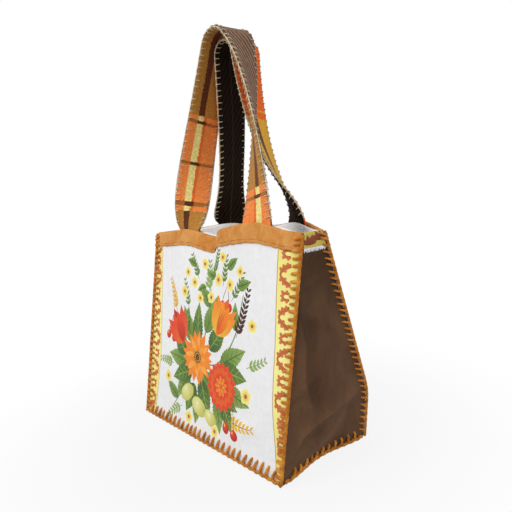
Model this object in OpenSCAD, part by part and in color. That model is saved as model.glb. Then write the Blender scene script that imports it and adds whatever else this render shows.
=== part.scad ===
// Hand-sewn cloth shopping bag: printed front, suede ends, wool and suede handles,
// blanket stitch in thick yarn along every seam. Millimetres, +Z up, front faces -Y,
// origin at the middle of the base.

/* [Body] */
// Height of the body at its corners
body_h = 284; // [240:2:330]
// Width along the bottom
bottom_w = 314; // [280:2:340]
// Width along the mouth
top_w = 328; // [300:2:350]
// Depth along the bottom
bottom_d = 152; // [120:2:180]
// Depth at the top corners
top_d = 35; // [33:1:45]
// How far the end seams at the back stand out above the base
elbow_out = 10; // [0:1:14]
// Height of that elbow
elbow_h = 64; // [50:2:90]
// How far the front bows out at the mouth
front_bulge = 12; // [4:0.5:14]
// How far the back bows out at the mouth
back_bulge = 60; // [44:1:62]
// Depth of the fold in the middle of the front's mouth
mouth_dent = 15; // [0:1:16]
// How far the mouth dips at that fold
mouth_dip = 10; // [0:0.5:12]
// How far the front handle's left leg lifts the mouth
left_hump = 6; // [0:1:10]
// How far its right leg lifts the mouth
right_hump = 14; // [0:1:16]
// How far the back handle lifts the mouth
back_hump = 8; // [0:1:12]

/* [Ends] */
// How far an end swells out
belly_out = 7; // [0:1:10]
// How far an end is drawn in along its bottom edge
tuck_in = 12; // [0:1:16]
// Height of the slanting crease on an end
crease_out = 3; // [0:0.5:5]

/* [Cloth] */
// Thickness of the outer panels
panel_t = 1.6; // [1.2:0.1:2.4]
// Thickness of the lining
lining_t = 0.8; // [0.6:0.1:1.2]
// Thickness of the folded bands
band_t = 1.2; // [0.8:0.1:1.6]
// Height of the front and back bands
band_h = 20; // [14:1:28]
// Height of the bands on the ends
end_band_h = 17; // [12:1:24]
// Turn-in of the bands on the inside
band_turn = 8; // [5:1:12]
// Clearance between neighbouring layers of cloth
cloth_gap = 0.3; // [0.2:0.05:0.5]

/* [Handles] */
// Distance between the legs of a handle
handle_spacing = 153; // [140:1:158]
// How far the handles sit to the right of the middle
handle_shift = 10; // [4:1:14]
// Width of the straps
strap_w = 50; // [40:1:52]
// Thickness of the wool side
wool_t = 2.2; // [1.6:0.1:2.8]
// Thickness of the suede side
suede_t = 1.6; // [1.2:0.1:2]
// Length of strap sewn in below the mouth
strap_tuck = 28; // [20:1:34]
// Height of the top of the front handle
front_handle_h = 565; // [530:1:600]
// How much lower the back handle's top lies
handle_nest = 13; // [11:0.5:18]
// Bend of the front handle's top, at the middle of the strap
front_bend_r = 28.5; // [27:0.5:32]
// Bend of the back handle's top
back_bend_r = 19; // [14:0.5:20]
// Sideways place of the front handle's top
front_top_x = -4; // [-8:1:2]
// Backward place of the front handle's top
front_top_y = 33; // [28:1:34]
// Sideways place of the back handle's top
back_top_x = -9; // [-12:1:0]
// Backward place of the back handle's top
back_top_y = 53; // [50:1:60]

/* [Stitching] */
// Thickness of the seam yarn
yarn_d = 3.2; // [2:0.1:4]
// Length of a yarn stitch on the cloth
yarn_arm = 9; // [6:0.5:12]
// Distance between stitches on the upright seams
yarn_pitch = 8.5; // [7:0.5:14]
// Distance between stitches along the base
base_pitch = 11; // [9:0.5:16]
// Thickness of the handle thread
thread_d = 1.5; // [1:0.1:1.8]
// Length of a thread stitch on the strap
thread_arm = 6.5; // [4:0.5:9]
// Distance between thread stitches
thread_pitch = 8.7; // [7:0.1:14]

/* [Hidden] */

printed_cotton = "#E8E8EA";
brown_suede = "#4F3A2E";
caramel_suede = "#CF8F4A";
border_cloth = "#E9D97A";
lining_cloth = "#E4E1D8";
orange_wool = "#D98238";
handle_suede = "#5A4638";
mustard_yarn = "#D98A1E";
cream_thread = "#CFC4AC";

// Sampling of the cloth surfaces
wide_steps = 18;
deep_steps = 8;
leg_steps = 15;
leg_ease = 1.4;
bend_steps = 8;
cord_sides = 6;
thread_sides = 5;
cord_steps = 20;

// Spread of the soft forms at the mouth and on the ends
hump_spread = 45;
hump_flank = 70;
fold_spread = 34;
fold_flank = 10;
fold_side = 8;
elbow_soft = 2.5;
belly_height = 0.32;
belly_spread = 0.28;
ridge_front = 0.05;
ridge_back = 0.24;
crease_low = [0.45, 0.25];
crease_high = [0.05, 0.75];
crease_reach = 0.25;
crease_spread = 0.22;

// Layers counted inwards from the outside of the cloth
strap_gap = 0.5;
strap_t = wool_t + suede_t + strap_gap;
bow_room = 2;
turn_gap = 3 * cloth_gap;
turn_in = panel_t + turn_gap;
strap_in = turn_in + band_t + cloth_gap + bow_room + strap_t / 2;
lining_in = panel_t + 2 * cloth_gap;
pocket_in = strap_in + strap_t / 2 + bow_room + cloth_gap - lining_in;
pocket_h = strap_tuck + 4;
pocket_ease = 16;
pocket_row = 1 - pocket_h / body_h;
rows = [0, 0.08, 0.16, 0.23, 0.32, 0.45, 0.6, 0.72, 0.81, pocket_row, 1 - band_h / body_h, 1];
base_lining_z = panel_t + cloth_gap;
lining_z = base_lining_z + lining_t + cloth_gap;
lining_end = turn_in + band_t + cloth_gap;
back_lean = sqrt(1 + pow(2 * back_bulge / (top_w / 2), 2));

// Handle placing
leg_left = handle_shift - handle_spacing / 2;
leg_right = handle_shift + handle_spacing / 2;
fold_x = handle_shift - fold_side;

// Stitch placing
yarn_r = yarn_d / 2;
thread_r = thread_d / 2;
stitch_gap = 0.2;
tip_share = 0.55;
arm_share = 0.82;
arm_slant = 1.4;
corner_room = 2 * yarn_d;
facet_room = 1.4;
twist_room = 0.88;
rim_room = yarn_r * (1 - sqrt(0.5)) + 2 * stitch_gap;

function mix(a, b, f) = a + (b - a) * f;
function ease(low, high, v) = let (f = max(0, min(1, (v - low) / (high - low)))) f * f * (3 - 2 * f);
function bell(v, middle, spread) = exp(-pow((v - middle) / spread, 2));
function swell(v) = pow(sin(180 * v), 2);
function unit(v) = v / norm(v);
function flat(grid) = [for (row = grid) each row];

// Outer surface of the body, with t from 0 at the base to 1 at the mouth
function half_w(t) = mix(bottom_w, top_w, t) / 2;
function front_edge_y(t) = -mix(bottom_d, top_d, t) / 2;
function back_edge_y(t) =
    let (
        out = bottom_d / 2 + elbow_out,
        bend = elbow_h / body_h,
        upper = mix(out, top_d / 2, (t - bend) / (1 - bend)),
        lower = mix(bottom_d / 2, out, t / bend)
    )
    -elbow_soft * ln(exp(-upper / elbow_soft) + exp(-lower / elbow_soft));
function fold(x) = bell(x, fold_x, x < fold_x ? fold_spread : fold_flank);
function front_lift(x) =
    left_hump * bell(x, leg_left, hump_spread) - mouth_dip * fold(x)
    + right_hump * bell(x, leg_right, x < leg_right ? hump_flank : hump_spread);
function back_lift(x) = back_hump * (bell(x, leg_left, hump_spread) + bell(x, leg_right, hump_spread));
function front_z(x, t) = body_h * t + front_lift(x) * pow(t, 4);
function back_z(x, t) = body_h * t + back_lift(x) * pow(t, 4);
function bow(x, t) = (1 - pow(x / half_w(t), 2)) * pow(t, 1.5);
function front_y(x, t) =
    front_edge_y(t) - front_bulge * bow(x, t) + mouth_dent * fold(x) * pow(t, 5);
function back_y(x, t) = back_edge_y(t) + back_bulge * bow(x, t);
function front_at(x, t, depth) = [x, front_y(x, t) + depth, front_z(x, t)];
function back_at(x, t, depth) = [x, back_y(x, t) - depth, back_z(x, t)];

// Outer surface of the right end, with v from 0 at the front seam to 1 at the back seam
function ridge_t(v) = mix(ridge_front, ridge_back, v);
function crease(v, t) =
    let (
        along = (t - crease_low[1]) / (crease_high[1] - crease_low[1]),
        off = abs(v - mix(crease_low[0], crease_high[0], along)) / crease_reach
    )
    max(0, 1 - off) * bell(along, 0.5, 2 * crease_spread) * swell(v);
function end_x(v, t) =
    half_w(t) + belly_out * swell(v) * bell(t, belly_height, belly_spread)
    + crease_out * crease(v, t) - tuck_in * swell(v) * (1 - ease(0, ridge_t(v), t));
function end_low_y(t) = front_edge_y(t) + panel_t + cloth_gap;
function end_high_y(t) = back_edge_y(t) - panel_t - cloth_gap;
function end_at(v, t, depth) = [end_x(v, t) - depth, mix(end_low_y(t), end_high_y(t), v), body_h * t];

// Lining depth: it stands off near the mouth, where the strap ends are sewn in
function lining_depth(x, t) =
    let (below = (1 - t) * body_h, level = 1 - pow(x / half_w(t), 8))
    lining_in + pocket_in * level * (1 - ease(pocket_h, pocket_h + pocket_ease, below));
lining_rows = concat([lining_z / body_h], [for (t = rows) if (t > lining_z / body_h) t]);

// Closed solid between two grids of points, rows upwards and columns to the right seen from a
module slab(a, b) {
    m = len(a);
    n = len(a[0]);
    k = m * n;
    skin = [for (i = [0 : m - 2], j = [0 : n - 2]) each [
        [i * n + j, i * n + n + j, i * n + n + j + 1],
        [i * n + j, i * n + n + j + 1, i * n + j + 1]
    ]];
    back = [for (f = skin) [f[2] + k, f[1] + k, f[0] + k]];
    sides = [for (i = [0 : m - 2]) each [
        [i * n + n, i * n, i * n + k],
        [i * n + n, i * n + k, i * n + n + k],
        [i * n + n - 1, i * n + 2 * n - 1, i * n + 2 * n - 1 + k],
        [i * n + n - 1, i * n + 2 * n - 1 + k, i * n + n - 1 + k]
    ]];
    top = (m - 1) * n;
    rims = [for (j = [0 : n - 2]) each [
        [top + j + 1, top + j, top + j + k],
        [top + j + 1, top + j + k, top + j + 1 + k],
        [j, j + 1, j + 1 + k],
        [j, j + 1 + k, j + k]
    ]];
    polyhedron(points = concat(flat(a), flat(b)), faces = concat(skin, back, sides, rims));
}

// Closed solid through rings of points, each ring counter-clockwise seen from the far end
module sweep(rings, cap = []) {
    m = len(rings);
    n = len(rings[0]);
    skin = [for (i = [0 : m - 2], j = [0 : n - 1]) each [
        [i * n + j, i * n + n + j, i * n + n + (j + 1) % n],
        [i * n + j, i * n + n + (j + 1) % n, i * n + (j + 1) % n]
    ]];
    near = len(cap) > 0 ? cap : [[for (j = [0 : n - 1]) j]];
    last = (m - 1) * n;
    caps = concat(near, [for (f = near) [for (j = [len(f) - 1 : -1 : 0]) f[j] + last]]);
    polyhedron(points = flat(rings), faces = concat(skin, caps));
}

// Round cord through points, with its section turned from one side direction or one for each point
function along(p, i) = unit(p[min(i + 1, len(p) - 1)] - p[max(i - 1, 0)]);
function side_at(side, i) = is_num(side[0]) ? side : side[i];
module cord(p, r, sides, side) {
    sweep([for (i = [0 : len(p) - 1])
        let (t = along(p, i), w = side_at(side, i), u = unit(w - (w * t) * t), v = cross(t, u))
        [for (s = [0 : sides - 1]) p[i] + r * (cos(360 * s / sides) * u + sin(360 * s / sides) * v)]
    ]);
}

// One stitch lying on the cloth, thinner at its tip
module stitch(from, to, r) {
    run = to - from;
    reach = norm(run);
    translate(from)
        rotate([0, acos(run[2] / reach), atan2(run[1], run[0])])
            cylinder(h = reach, r1 = r, r2 = r * tip_share, $fn = 16);
}

module mirrored(flip) {
    if (flip) mirror([1, 0, 0]) children();
    else children();
}

// Panels
function across(half, j) = half * (2 * j / wide_steps - 1);
function front_grid(depth) = [for (t = rows) [for (j = [0 : wide_steps])
    front_at(across(half_w(t), j), t, depth)]];
function back_grid(depth) = [for (t = rows) [for (j = [0 : wide_steps])
    back_at(-across(half_w(t), j), t, depth)]];
function end_grid(levels, depth) = [for (t = levels) [for (j = [0 : deep_steps])
    end_at(j / deep_steps, t, depth)]];

module front_panel() {
    color(printed_cotton) slab(front_grid(0), front_grid(panel_t));
}

module back_panel() {
    color(printed_cotton) slab(back_grid(0), back_grid(panel_t));
}

module end_panel(flip) {
    color(brown_suede) mirrored(flip) slab(end_grid(rows, 0), end_grid(rows, panel_t));
}

// Base and its lining are flat, with ends that follow the drawn-in end panels
function base_outline(depth, level) =
    let (
        t = level / body_h,
        low = front_edge_y(t) + panel_t + cloth_gap,
        high = back_edge_y(0) - panel_t - cloth_gap,
        right = [for (j = [0 : deep_steps])
            let (p = end_at(j / deep_steps, 0, depth))
            [p[0], max(low, min(high, p[1]))]]
    )
    concat(right, [for (j = [deep_steps : -1 : 0]) [-right[j][0], right[j][1]]]);

module bottom_panel() {
    color(brown_suede)
        linear_extrude(height = panel_t)
            polygon(base_outline(panel_t + cloth_gap, panel_t));
}

module bottom_lining() {
    color(lining_cloth)
        translate([0, 0, base_lining_z])
            linear_extrude(height = lining_t)
                polygon(base_outline(lining_end, base_lining_z + lining_t));
}

// Linings, with a pocket near the mouth for the strap ends
function lining_x(t, j) = across(half_w(t) - lining_end, j);
function front_lining_grid(extra) = [for (t = lining_rows) [for (j = [0 : wide_steps])
    let (x = lining_x(t, j)) front_at(x, t, lining_depth(x, t) + extra)]];
function back_lining_grid(extra) = [for (t = lining_rows) [for (j = [0 : wide_steps])
    let (x = -lining_x(t, j)) back_at(x, t, lining_depth(x, t) + extra)]];

module front_lining() {
    color(lining_cloth) slab(front_lining_grid(0), front_lining_grid(lining_t));
}

module back_lining() {
    color(lining_cloth) slab(back_lining_grid(0), back_lining_grid(lining_t));
}

// The end linings stop under the turn-in of their bands
end_lining_top = 1 - (band_turn + cloth_gap) / body_h;
end_lining_rows = concat([for (t = lining_rows) if (t < end_lining_top) t], [end_lining_top]);
module end_lining(flip) {
    color(lining_cloth)
        mirrored(flip)
            slab(end_grid(end_lining_rows, lining_in), end_grid(end_lining_rows, lining_in + lining_t));
}

// Bands folded over the top edge: section as [depth, height above the edge], depth inwards
function band_section(drop) = [
    [-cloth_gap - band_t, -drop],
    [-cloth_gap - band_t, cloth_gap + band_t],
    [turn_in + band_t, cloth_gap + band_t],
    [turn_in + band_t, -band_turn],
    [turn_in, -band_turn],
    [turn_in, cloth_gap],
    [-cloth_gap, cloth_gap],
    [-cloth_gap, -drop]
];
band_cap = [[0, 1, 6], [0, 6, 7], [1, 2, 5], [1, 5, 6], [2, 3, 4], [2, 4, 5]];
band_half = half_w(1 - band_h / body_h) - rim_room;
turn_half = half_w(1 - band_turn / body_h) - lining_end - band_t;
function band_x(q, j) = across(q[0] > panel_t ? turn_half : band_half, j);
function front_band_ring(j) = [for (s = [7 : -1 : 0])
    let (q = band_section(band_h)[s], t = 1 + min(0, q[1]) / body_h)
    front_at(band_x(q, j), t, q[0]) + [0, 0, max(0, q[1])]];
function back_band_ring(j) = [for (s = [7 : -1 : 0])
    let (q = band_section(band_h)[s], t = 1 + min(0, q[1]) / body_h)
    back_at(-band_x(q, j), t, q[0]) + [0, 0, max(0, q[1])]];
function end_band_ring(v) = [for (s = [7 : -1 : 0])
    let (q = band_section(end_band_h)[s], t = 1 + min(0, q[1]) / body_h)
    end_at(v, t, q[0]) + [0, 0, max(0, q[1])]];

module front_band() {
    color(caramel_suede) sweep([for (j = [0 : wide_steps]) front_band_ring(j)], band_cap);
}

module back_band() {
    color(caramel_suede) sweep([for (j = [0 : wide_steps]) back_band_ring(j)], band_cap);
}

module end_band(flip) {
    color(border_cloth)
        mirrored(flip)
            sweep([for (j = [0 : deep_steps]) end_band_ring(j / deep_steps)], band_cap);
}

// A handle is [sewn to the front, top height, bend radius, place of its top, lean at the bend,
// pull at the foot and at the bend, quickness of the turn on the left and right leg,
// turn past square half-way up each leg]
front_top = [front_top_x, front_top_y];
back_top = [back_top_x, back_top_y];
back_handle_h = front_handle_h - handle_nest;
front_handle = [true, front_handle_h, front_bend_r, front_top, 27, [0.2, 0.21], [3.2, 0.94], [0, 0]];
back_handle = [false, back_handle_h, back_bend_r, back_top, 2.5, [0.17, 0.7], [6, 0.86], [8, 0]];

function leg_x(side) = side < 0 ? leg_left : leg_right;
function foot(h, side, below) =
    let (t = 1 - below / body_h, x = leg_x(side))
    h[0] ? front_at(x, t, strap_in) : back_at(x, t, strap_in);
function rise(h, side) = unit(foot(h, side, 0) - foot(h, side, strap_tuck));
function mouth_y(h, x) = h[0] ? front_y(x, 1) : back_y(x, 1);
function foot_turn(h, side) =
    let (x = leg_x(side), d = strap_w / 2)
    -side * atan2(mouth_y(h, x + d) - mouth_y(h, x - d), 2 * d);
function bend_middle(h) = [h[3][0], h[3][1], h[1] - strap_t / 2 - h[2]];
function bend_at(h, a) = bend_middle(h) + h[2] * [cos(a), 0, sin(a)];
function bezier(a, b, c, d, f) =
    pow(1 - f, 3) * a + 3 * f * pow(1 - f, 2) * b + 3 * f * f * (1 - f) * c + pow(f, 3) * d;
function bezier_run(a, b, c, d, f) =
    pow(1 - f, 2) * (b - a) + 2 * f * (1 - f) * (c - b) + f * f * (d - c);
function leg_hull(h, side) =
    let (
        a = foot(h, side, 0),
        d = bend_at(h, side < 0 ? 180 - h[4] : h[4]),
        reach = norm(d - a),
        up = [-side * sin(h[4]), 0, cos(h[4])]
    )
    [a, a + rise(h, side) * reach * h[5][0], d - up * reach * h[5][1], d];
function leg_turn(h, side, f) =
    let (leg = side < 0 ? 0 : 1)
    mix(foot_turn(h, side), 90, 1 - pow(1 - f, h[6][leg])) + h[7][leg] * swell(f);

// A station on a strap is [point, direction, edge direction]: the outer edge of a leg
// becomes the front edge at the top
function station(p, run, side, turn) =
    let (t = unit(run), e = [side * cos(turn), -sin(turn), 0])
    [p, t, unit(e - (e * t) * t)];
function leg_station(h, side, f) =
    let (c = leg_hull(h, side), run = bezier_run(c[0], c[1], c[2], c[3], f))
    station(bezier(c[0], c[1], c[2], c[3], f), -side * run, side, leg_turn(h, side, f));
function tuck_station(h, side, below) =
    station(foot(h, side, 0) - rise(h, side) * below, -side * rise(h, side), side, foot_turn(h, side));
function bend_station(h, a) = station(bend_at(h, a), [sin(a), 0, -cos(a)], 1, 90);
function strap_bend(h) = [for (i = [1 : bend_steps - 1])
    bend_station(h, mix(180 - h[4], h[4], i / bend_steps))];
function strap_free(h) = concat(
    [for (i = [0 : leg_steps]) leg_station(h, -1, pow(i / leg_steps, leg_ease))],
    strap_bend(h),
    [for (i = [leg_steps : -1 : 0]) leg_station(h, 1, pow(i / leg_steps, leg_ease))]
);
function strap_all(h) = concat(
    [tuck_station(h, -1, strap_tuck)], strap_free(h), [tuck_station(h, 1, strap_tuck)]
);
function off_station(s, wide, thick) = s[0] + s[2] * wide + cross(s[1], s[2]) * thick;
function strap_face(h, thick) = [for (s = strap_all(h)) [for (j = [-1 : 1])
    off_station(s, j * strap_w / 2, thick)]];

// The side that faces forward at the foot faces inward at the top
module strap_layer(h, inward, thickness) {
    start = (wool_t - suede_t) / 2 * (h[0] ? -1 : 1);
    low = inward ? start + strap_gap / 2 : start - strap_gap / 2 - thickness;
    slab(strap_face(h, low), strap_face(h, low + thickness));
}

module front_handle_wool() {
    color(orange_wool) strap_layer(front_handle, true, wool_t);
}

module front_handle_suede() {
    color(handle_suede) strap_layer(front_handle, false, suede_t);
}

module back_handle_wool() {
    color(orange_wool) strap_layer(back_handle, false, wool_t);
}

module back_handle_suede() {
    color(handle_suede) strap_layer(back_handle, true, suede_t);
}

// Thread along one edge of a strap: a running cord outside the edge and stitches on both faces
function strap_line(h, wide) = [for (s = strap_free(h)) off_station(s, wide, 0)];
function lengths(p, i = 1, sum = [0]) =
    i == len(p) ? sum : lengths(p, i + 1, concat(sum, sum[i - 1] + norm(p[i] - p[i - 1])));
function span_of(sums, d, i = 0) = i >= len(sums) - 2 || sums[i + 1] >= d ? i : span_of(sums, d, i + 1);
function blend_station(a, b, f) =
    let (t = unit(mix(a[1], b[1], f)), e = mix(a[2], b[2], f))
    [mix(a[0], b[0], f), t, unit(e - (e * t) * t)];

module edge_thread(h, edge) {
    stations = strap_free(h);
    start = band_t + cloth_gap + thread_d;
    wide = edge * (strap_w / 2 + thread_r + stitch_gap);
    line = strap_line(h, wide);
    sums = lengths(line);
    count = floor((sums[len(sums) - 1] - 2 * thread_pitch) / thread_pitch);
    arm_r = thread_r * arm_share;
    lift = strap_t / 2 + arm_r + twist_room;
    last = len(line) - 1;
    inner = [2 : last - 2];
    color(cream_thread) {
        cord(
            concat(
                [line[0] + along(line, 0) * start],
                [for (i = inner) line[i]],
                [line[last] - along(line, last) * start]
            ),
            thread_r, thread_sides,
            concat([stations[0][2]], [for (i = inner) stations[i][2]], [stations[last][2]])
        );
        for (i = [1 : count], face = [-1, 1]) {
            d = thread_pitch * (i + 0.5);
            k = span_of(sums, d);
            s = blend_station(stations[k], stations[k + 1], (d - sums[k]) / (sums[k + 1] - sums[k]));
            from = off_station(s, edge * (strap_w / 2 - stitch_gap), face * lift);
            to = off_station(s, edge * (strap_w / 2 - thread_arm), face * lift);
            stitch(from, to, arm_r);
        }
    }
}

// Upright seams: a cord on the corner and stitches on both faces
function seam_cord(front, t) =
    let (out = (yarn_r + stitch_gap) * sqrt(0.5), y = front ? front_edge_y(t) - out : back_edge_y(t) + out)
    [half_w(t) + out, y, body_h * t];
module upright_yarn(front, flip) {
    bottom = corner_room / body_h;
    top = 1 - stitch_gap / body_h;
    arm_r = yarn_r * arm_share;
    cord_side = yarn_r * (1 - sqrt(0.5)) + stitch_gap;
    count = floor((body_h - corner_room) / yarn_pitch);
    color(mustard_yarn) mirrored(flip) {
        cord([for (i = [0 : cord_steps]) seam_cord(front, mix(bottom, top, i / cord_steps))],
            yarn_r, cord_sides, [1, 0, 0]);
        for (i = [1 : count]) {
            z = corner_room + yarn_pitch * (i - 0.5);
            t = z / body_h;
            u = (z - arm_slant) / body_h;
            hw = half_w(t);
            band = body_h - z < band_h + arm_r + stitch_gap ? band_t + cloth_gap : 0;
            end_band = body_h - z < end_band_h + arm_r + stitch_gap ? band_t + cloth_gap : 0;
            face = -(arm_r + stitch_gap) * (front ? 1 : back_lean) - stitch_gap - band;
            near = hw - cord_side;
            far = hw - yarn_arm;
            side_depth = -arm_r - stitch_gap - end_band;
            run = end_high_y(t) - end_low_y(t);
            v = [cord_side / run, min(0.4, yarn_arm / run)];
            if (front) {
                stitch(front_at(near, t, face), front_at(far, u, face), arm_r);
                stitch(end_at(v[0], t, side_depth), end_at(v[1], u, side_depth), arm_r);
            } else {
                stitch(back_at(near, t, face), back_at(far, u, face), arm_r);
                stitch(end_at(1 - v[0], t, side_depth), end_at(1 - v[1], u, side_depth), arm_r);
            }
        }
    }
}

// Base seams: the cord lies outside the bottom edge, clear of the floor, with stitches up the panel
module long_base_yarn(front) {
    arm_r = yarn_r * arm_share;
    z = yarn_r + stitch_gap;
    half = half_w(0) - yarn_r;
    count = floor(2 * (half - yarn_arm - yarn_d) / base_pitch);
    outside = -yarn_r - stitch_gap;
    face = -arm_r - stitch_gap;
    y = front ? front_at(0, 0, outside)[1] : back_at(0, 0, outside)[1] + elbow_out * yarn_d / elbow_h;
    low = (yarn_d + 3 * stitch_gap) / body_h;
    high = (yarn_d + yarn_arm) / body_h;
    color(mustard_yarn) {
        translate([-half, y, z]) rotate([0, 90, 0]) cylinder(h = 2 * half, r = yarn_r, $fn = 24);
        for (i = [0 : count]) {
            x = base_pitch * (i - count / 2);
            if (front) stitch(front_at(x, low, face), front_at(x + arm_slant, high, face), arm_r);
            else stitch(back_at(x, low, face), back_at(x - arm_slant, high, face), arm_r);
        }
    }
}

module end_base_yarn(flip) {
    arm_r = yarn_r * arm_share;
    run = end_high_y(0) - end_low_y(0);
    margin = yarn_d / run;
    inset = (yarn_arm + yarn_d) / run;
    count = floor(run * (1 - 2 * inset) / base_pitch);
    lie = (yarn_r + stitch_gap) / body_h;
    outside = -yarn_r - stitch_gap - facet_room;
    face = -arm_r - stitch_gap - facet_room;
    low = (yarn_d + 3 * stitch_gap) / body_h;
    high = (yarn_d + yarn_arm) / body_h;
    color(mustard_yarn) mirrored(flip) {
        cord([for (i = [0 : cord_steps])
            end_at(mix(margin, 1 - margin, i / cord_steps), lie, outside)
        ], yarn_r, cord_sides, [0, 0, 1]);
        for (i = [0 : count - 1]) {
            v = mix(inset, 1 - inset, (i + 0.5) / count);
            stitch(end_at(v, low, face), end_at(v + arm_slant / run, high, face), arm_r);
        }
    }
}

front_panel();
back_panel();
end_panel(true);  // left_end
end_panel(false);  // right_end
bottom_panel();
front_band();
back_band();
end_band(true);  // left_end_band
end_band(false);  // right_end_band
front_lining();
back_lining();
end_lining(true);  // left_lining
end_lining(false);  // right_lining
bottom_lining();
front_handle_wool();
front_handle_suede();
back_handle_wool();
back_handle_suede();
edge_thread(front_handle, 1);  // front_handle_outer_thread
edge_thread(front_handle, -1);  // front_handle_inner_thread
edge_thread(back_handle, 1);  // back_handle_outer_thread
edge_thread(back_handle, -1);  // back_handle_inner_thread
upright_yarn(true, true);  // front_left_yarn
upright_yarn(true, false);  // front_right_yarn
upright_yarn(false, true);  // back_left_yarn
upright_yarn(false, false);  // back_right_yarn
long_base_yarn(true);  // front_base_yarn
long_base_yarn(false);  // back_base_yarn
end_base_yarn(true);  // left_base_yarn
end_base_yarn(false);  // right_base_yarn
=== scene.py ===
import math
import random

import bpy
import numpy as np
from mathutils import Matrix, Vector
from mathutils.geometry import delaunay_2d_cdt


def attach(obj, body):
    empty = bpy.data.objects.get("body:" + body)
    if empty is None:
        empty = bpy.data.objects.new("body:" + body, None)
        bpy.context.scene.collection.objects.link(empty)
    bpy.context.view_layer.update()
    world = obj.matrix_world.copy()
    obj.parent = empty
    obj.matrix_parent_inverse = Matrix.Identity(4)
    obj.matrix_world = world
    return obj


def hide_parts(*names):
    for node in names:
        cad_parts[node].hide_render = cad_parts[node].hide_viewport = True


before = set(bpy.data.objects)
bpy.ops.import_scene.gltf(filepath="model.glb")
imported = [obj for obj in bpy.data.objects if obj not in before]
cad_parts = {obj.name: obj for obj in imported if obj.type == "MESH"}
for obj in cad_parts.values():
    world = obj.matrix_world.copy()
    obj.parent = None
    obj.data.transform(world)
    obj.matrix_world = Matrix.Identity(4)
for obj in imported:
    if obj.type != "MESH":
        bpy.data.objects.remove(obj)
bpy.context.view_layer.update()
bpy.ops.object.select_all(action="DESELECT")
scene = bpy.context.scene
scene.view_settings.view_transform = "Standard"
mm = 0.001  # the bag's own sizes below are in millimetres
dice = random.Random(11)
print("frame loaded with", len(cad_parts), "nodes")

# Camera, at the height of a person who sits in front of the bag and leans a little
view = dict(lens=34.73, place=(0.5579, -0.4190, 0.3337), azimuth=50.04, elevation=7.11, roll=-4.98)


def addCamera():
    turn, tilt, roll = (math.radians(view[key]) for key in ("azimuth", "elevation", "roll"))
    back = Vector((math.sin(turn) * math.cos(tilt), -math.cos(turn) * math.cos(tilt), math.sin(tilt)))
    right = Vector((0, 0, 1)).cross(back).normalized()
    up = back.cross(right)
    leanRight = right * math.cos(roll) + up * math.sin(roll)
    leanUp = up * math.cos(roll) - right * math.sin(roll)
    camera = bpy.data.objects.new("camera", bpy.data.cameras.new("camera"))
    camera.data.lens = view["lens"]
    camera.data.clip_start = 0.01
    camera.matrix_world = Matrix((leanRight, leanUp, back)).transposed().to_4x4()
    camera.location = view["place"]
    scene.collection.objects.link(camera)
    scene.camera = camera


addCamera()


# Colour and nodes
def linear(hexColour):
    parts = [int(hexColour[i:i + 2], 16) / 255 for i in (1, 3, 5)]
    return tuple(c / 12.92 if c <= 0.04045 else ((c + 0.055) / 1.055) ** 2.4 for c in parts) + (1.0,)


def addNode(tree, kind, settings={}, links={}):
    node = tree.nodes.new("ShaderNode" + kind)
    for name, value in settings.items():
        if name == "stops":  # colour stops of a ramp, as (place, colour)
            while len(node.color_ramp.elements) < len(value):
                node.color_ramp.elements.new(0.5)
            for element, (place, colour) in zip(node.color_ramp.elements, value):
                element.position = place
                element.color = colour
        elif name == "interpolation":
            node.color_ramp.interpolation = value
        else:
            setattr(node, name, value)
    for socket, value in links.items():
        if isinstance(value, bpy.types.NodeSocket):
            tree.links.new(value, node.inputs[socket])
        else:
            node.inputs[socket].default_value = value
    return node


def newMaterial(name, **values):
    material = bpy.data.materials.new(name)
    material.use_nodes = True
    tree = material.node_tree
    shader = tree.nodes["Principled BSDF"]
    for socket, value in values.items():
        shader.inputs[socket.replace("_", " ")].default_value = value
    return material, tree, shader


def ownPlace(tree):
    return addNode(tree, "TexCoord").outputs["Object"]


def ownValue(tree, name, socket="Fac"):
    # what the piece carries at each point
    return addNode(tree, "Attribute", dict(attribute_name=name)).outputs[socket]


def maths(tree, operation, *values):
    return addNode(tree, "Math", dict(operation=operation), dict(enumerate(values))).outputs["Value"]


def remap(tree, value, low, high, toLow, toHigh, **settings):
    links = dict(enumerate((value, low, high, toLow, toHigh)))
    return addNode(tree, "MapRange", settings, links).outputs["Result"]


def noise(tree, place, size, detail, **more):
    # size of the largest patches in millimetres
    links = dict(Vector=place, Scale=1 / (size * mm), Detail=detail, **more)
    return addNode(tree, "TexNoise", {}, links).outputs["Fac"]


def ramp(tree, value, places, colours, interpolation="LINEAR"):
    stops = [(place, linear(colour)) for place, colour in zip(places, colours)]
    settings = dict(stops=stops, interpolation=interpolation)
    return addNode(tree, "ValToRGB", settings, dict(Fac=value)).outputs["Color"]


def blend(tree, share, under, over, kind="MIX"):
    links = dict(Fac=share, Color1=under, Color2=over)
    return addNode(tree, "MixRGB", dict(blend_type=kind), links).outputs["Color"]


def dress(tree, shader, colour, strength, depth, height):
    # colour, and a fine relief with its depth in millimetres
    bump = addNode(tree, "Bump", {}, dict(Strength=strength, Distance=depth * mm, Height=height))
    tree.links.new(colour, shader.inputs["Base Color"])
    tree.links.new(bump.outputs["Normal"], shader.inputs["Normal"])


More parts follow.
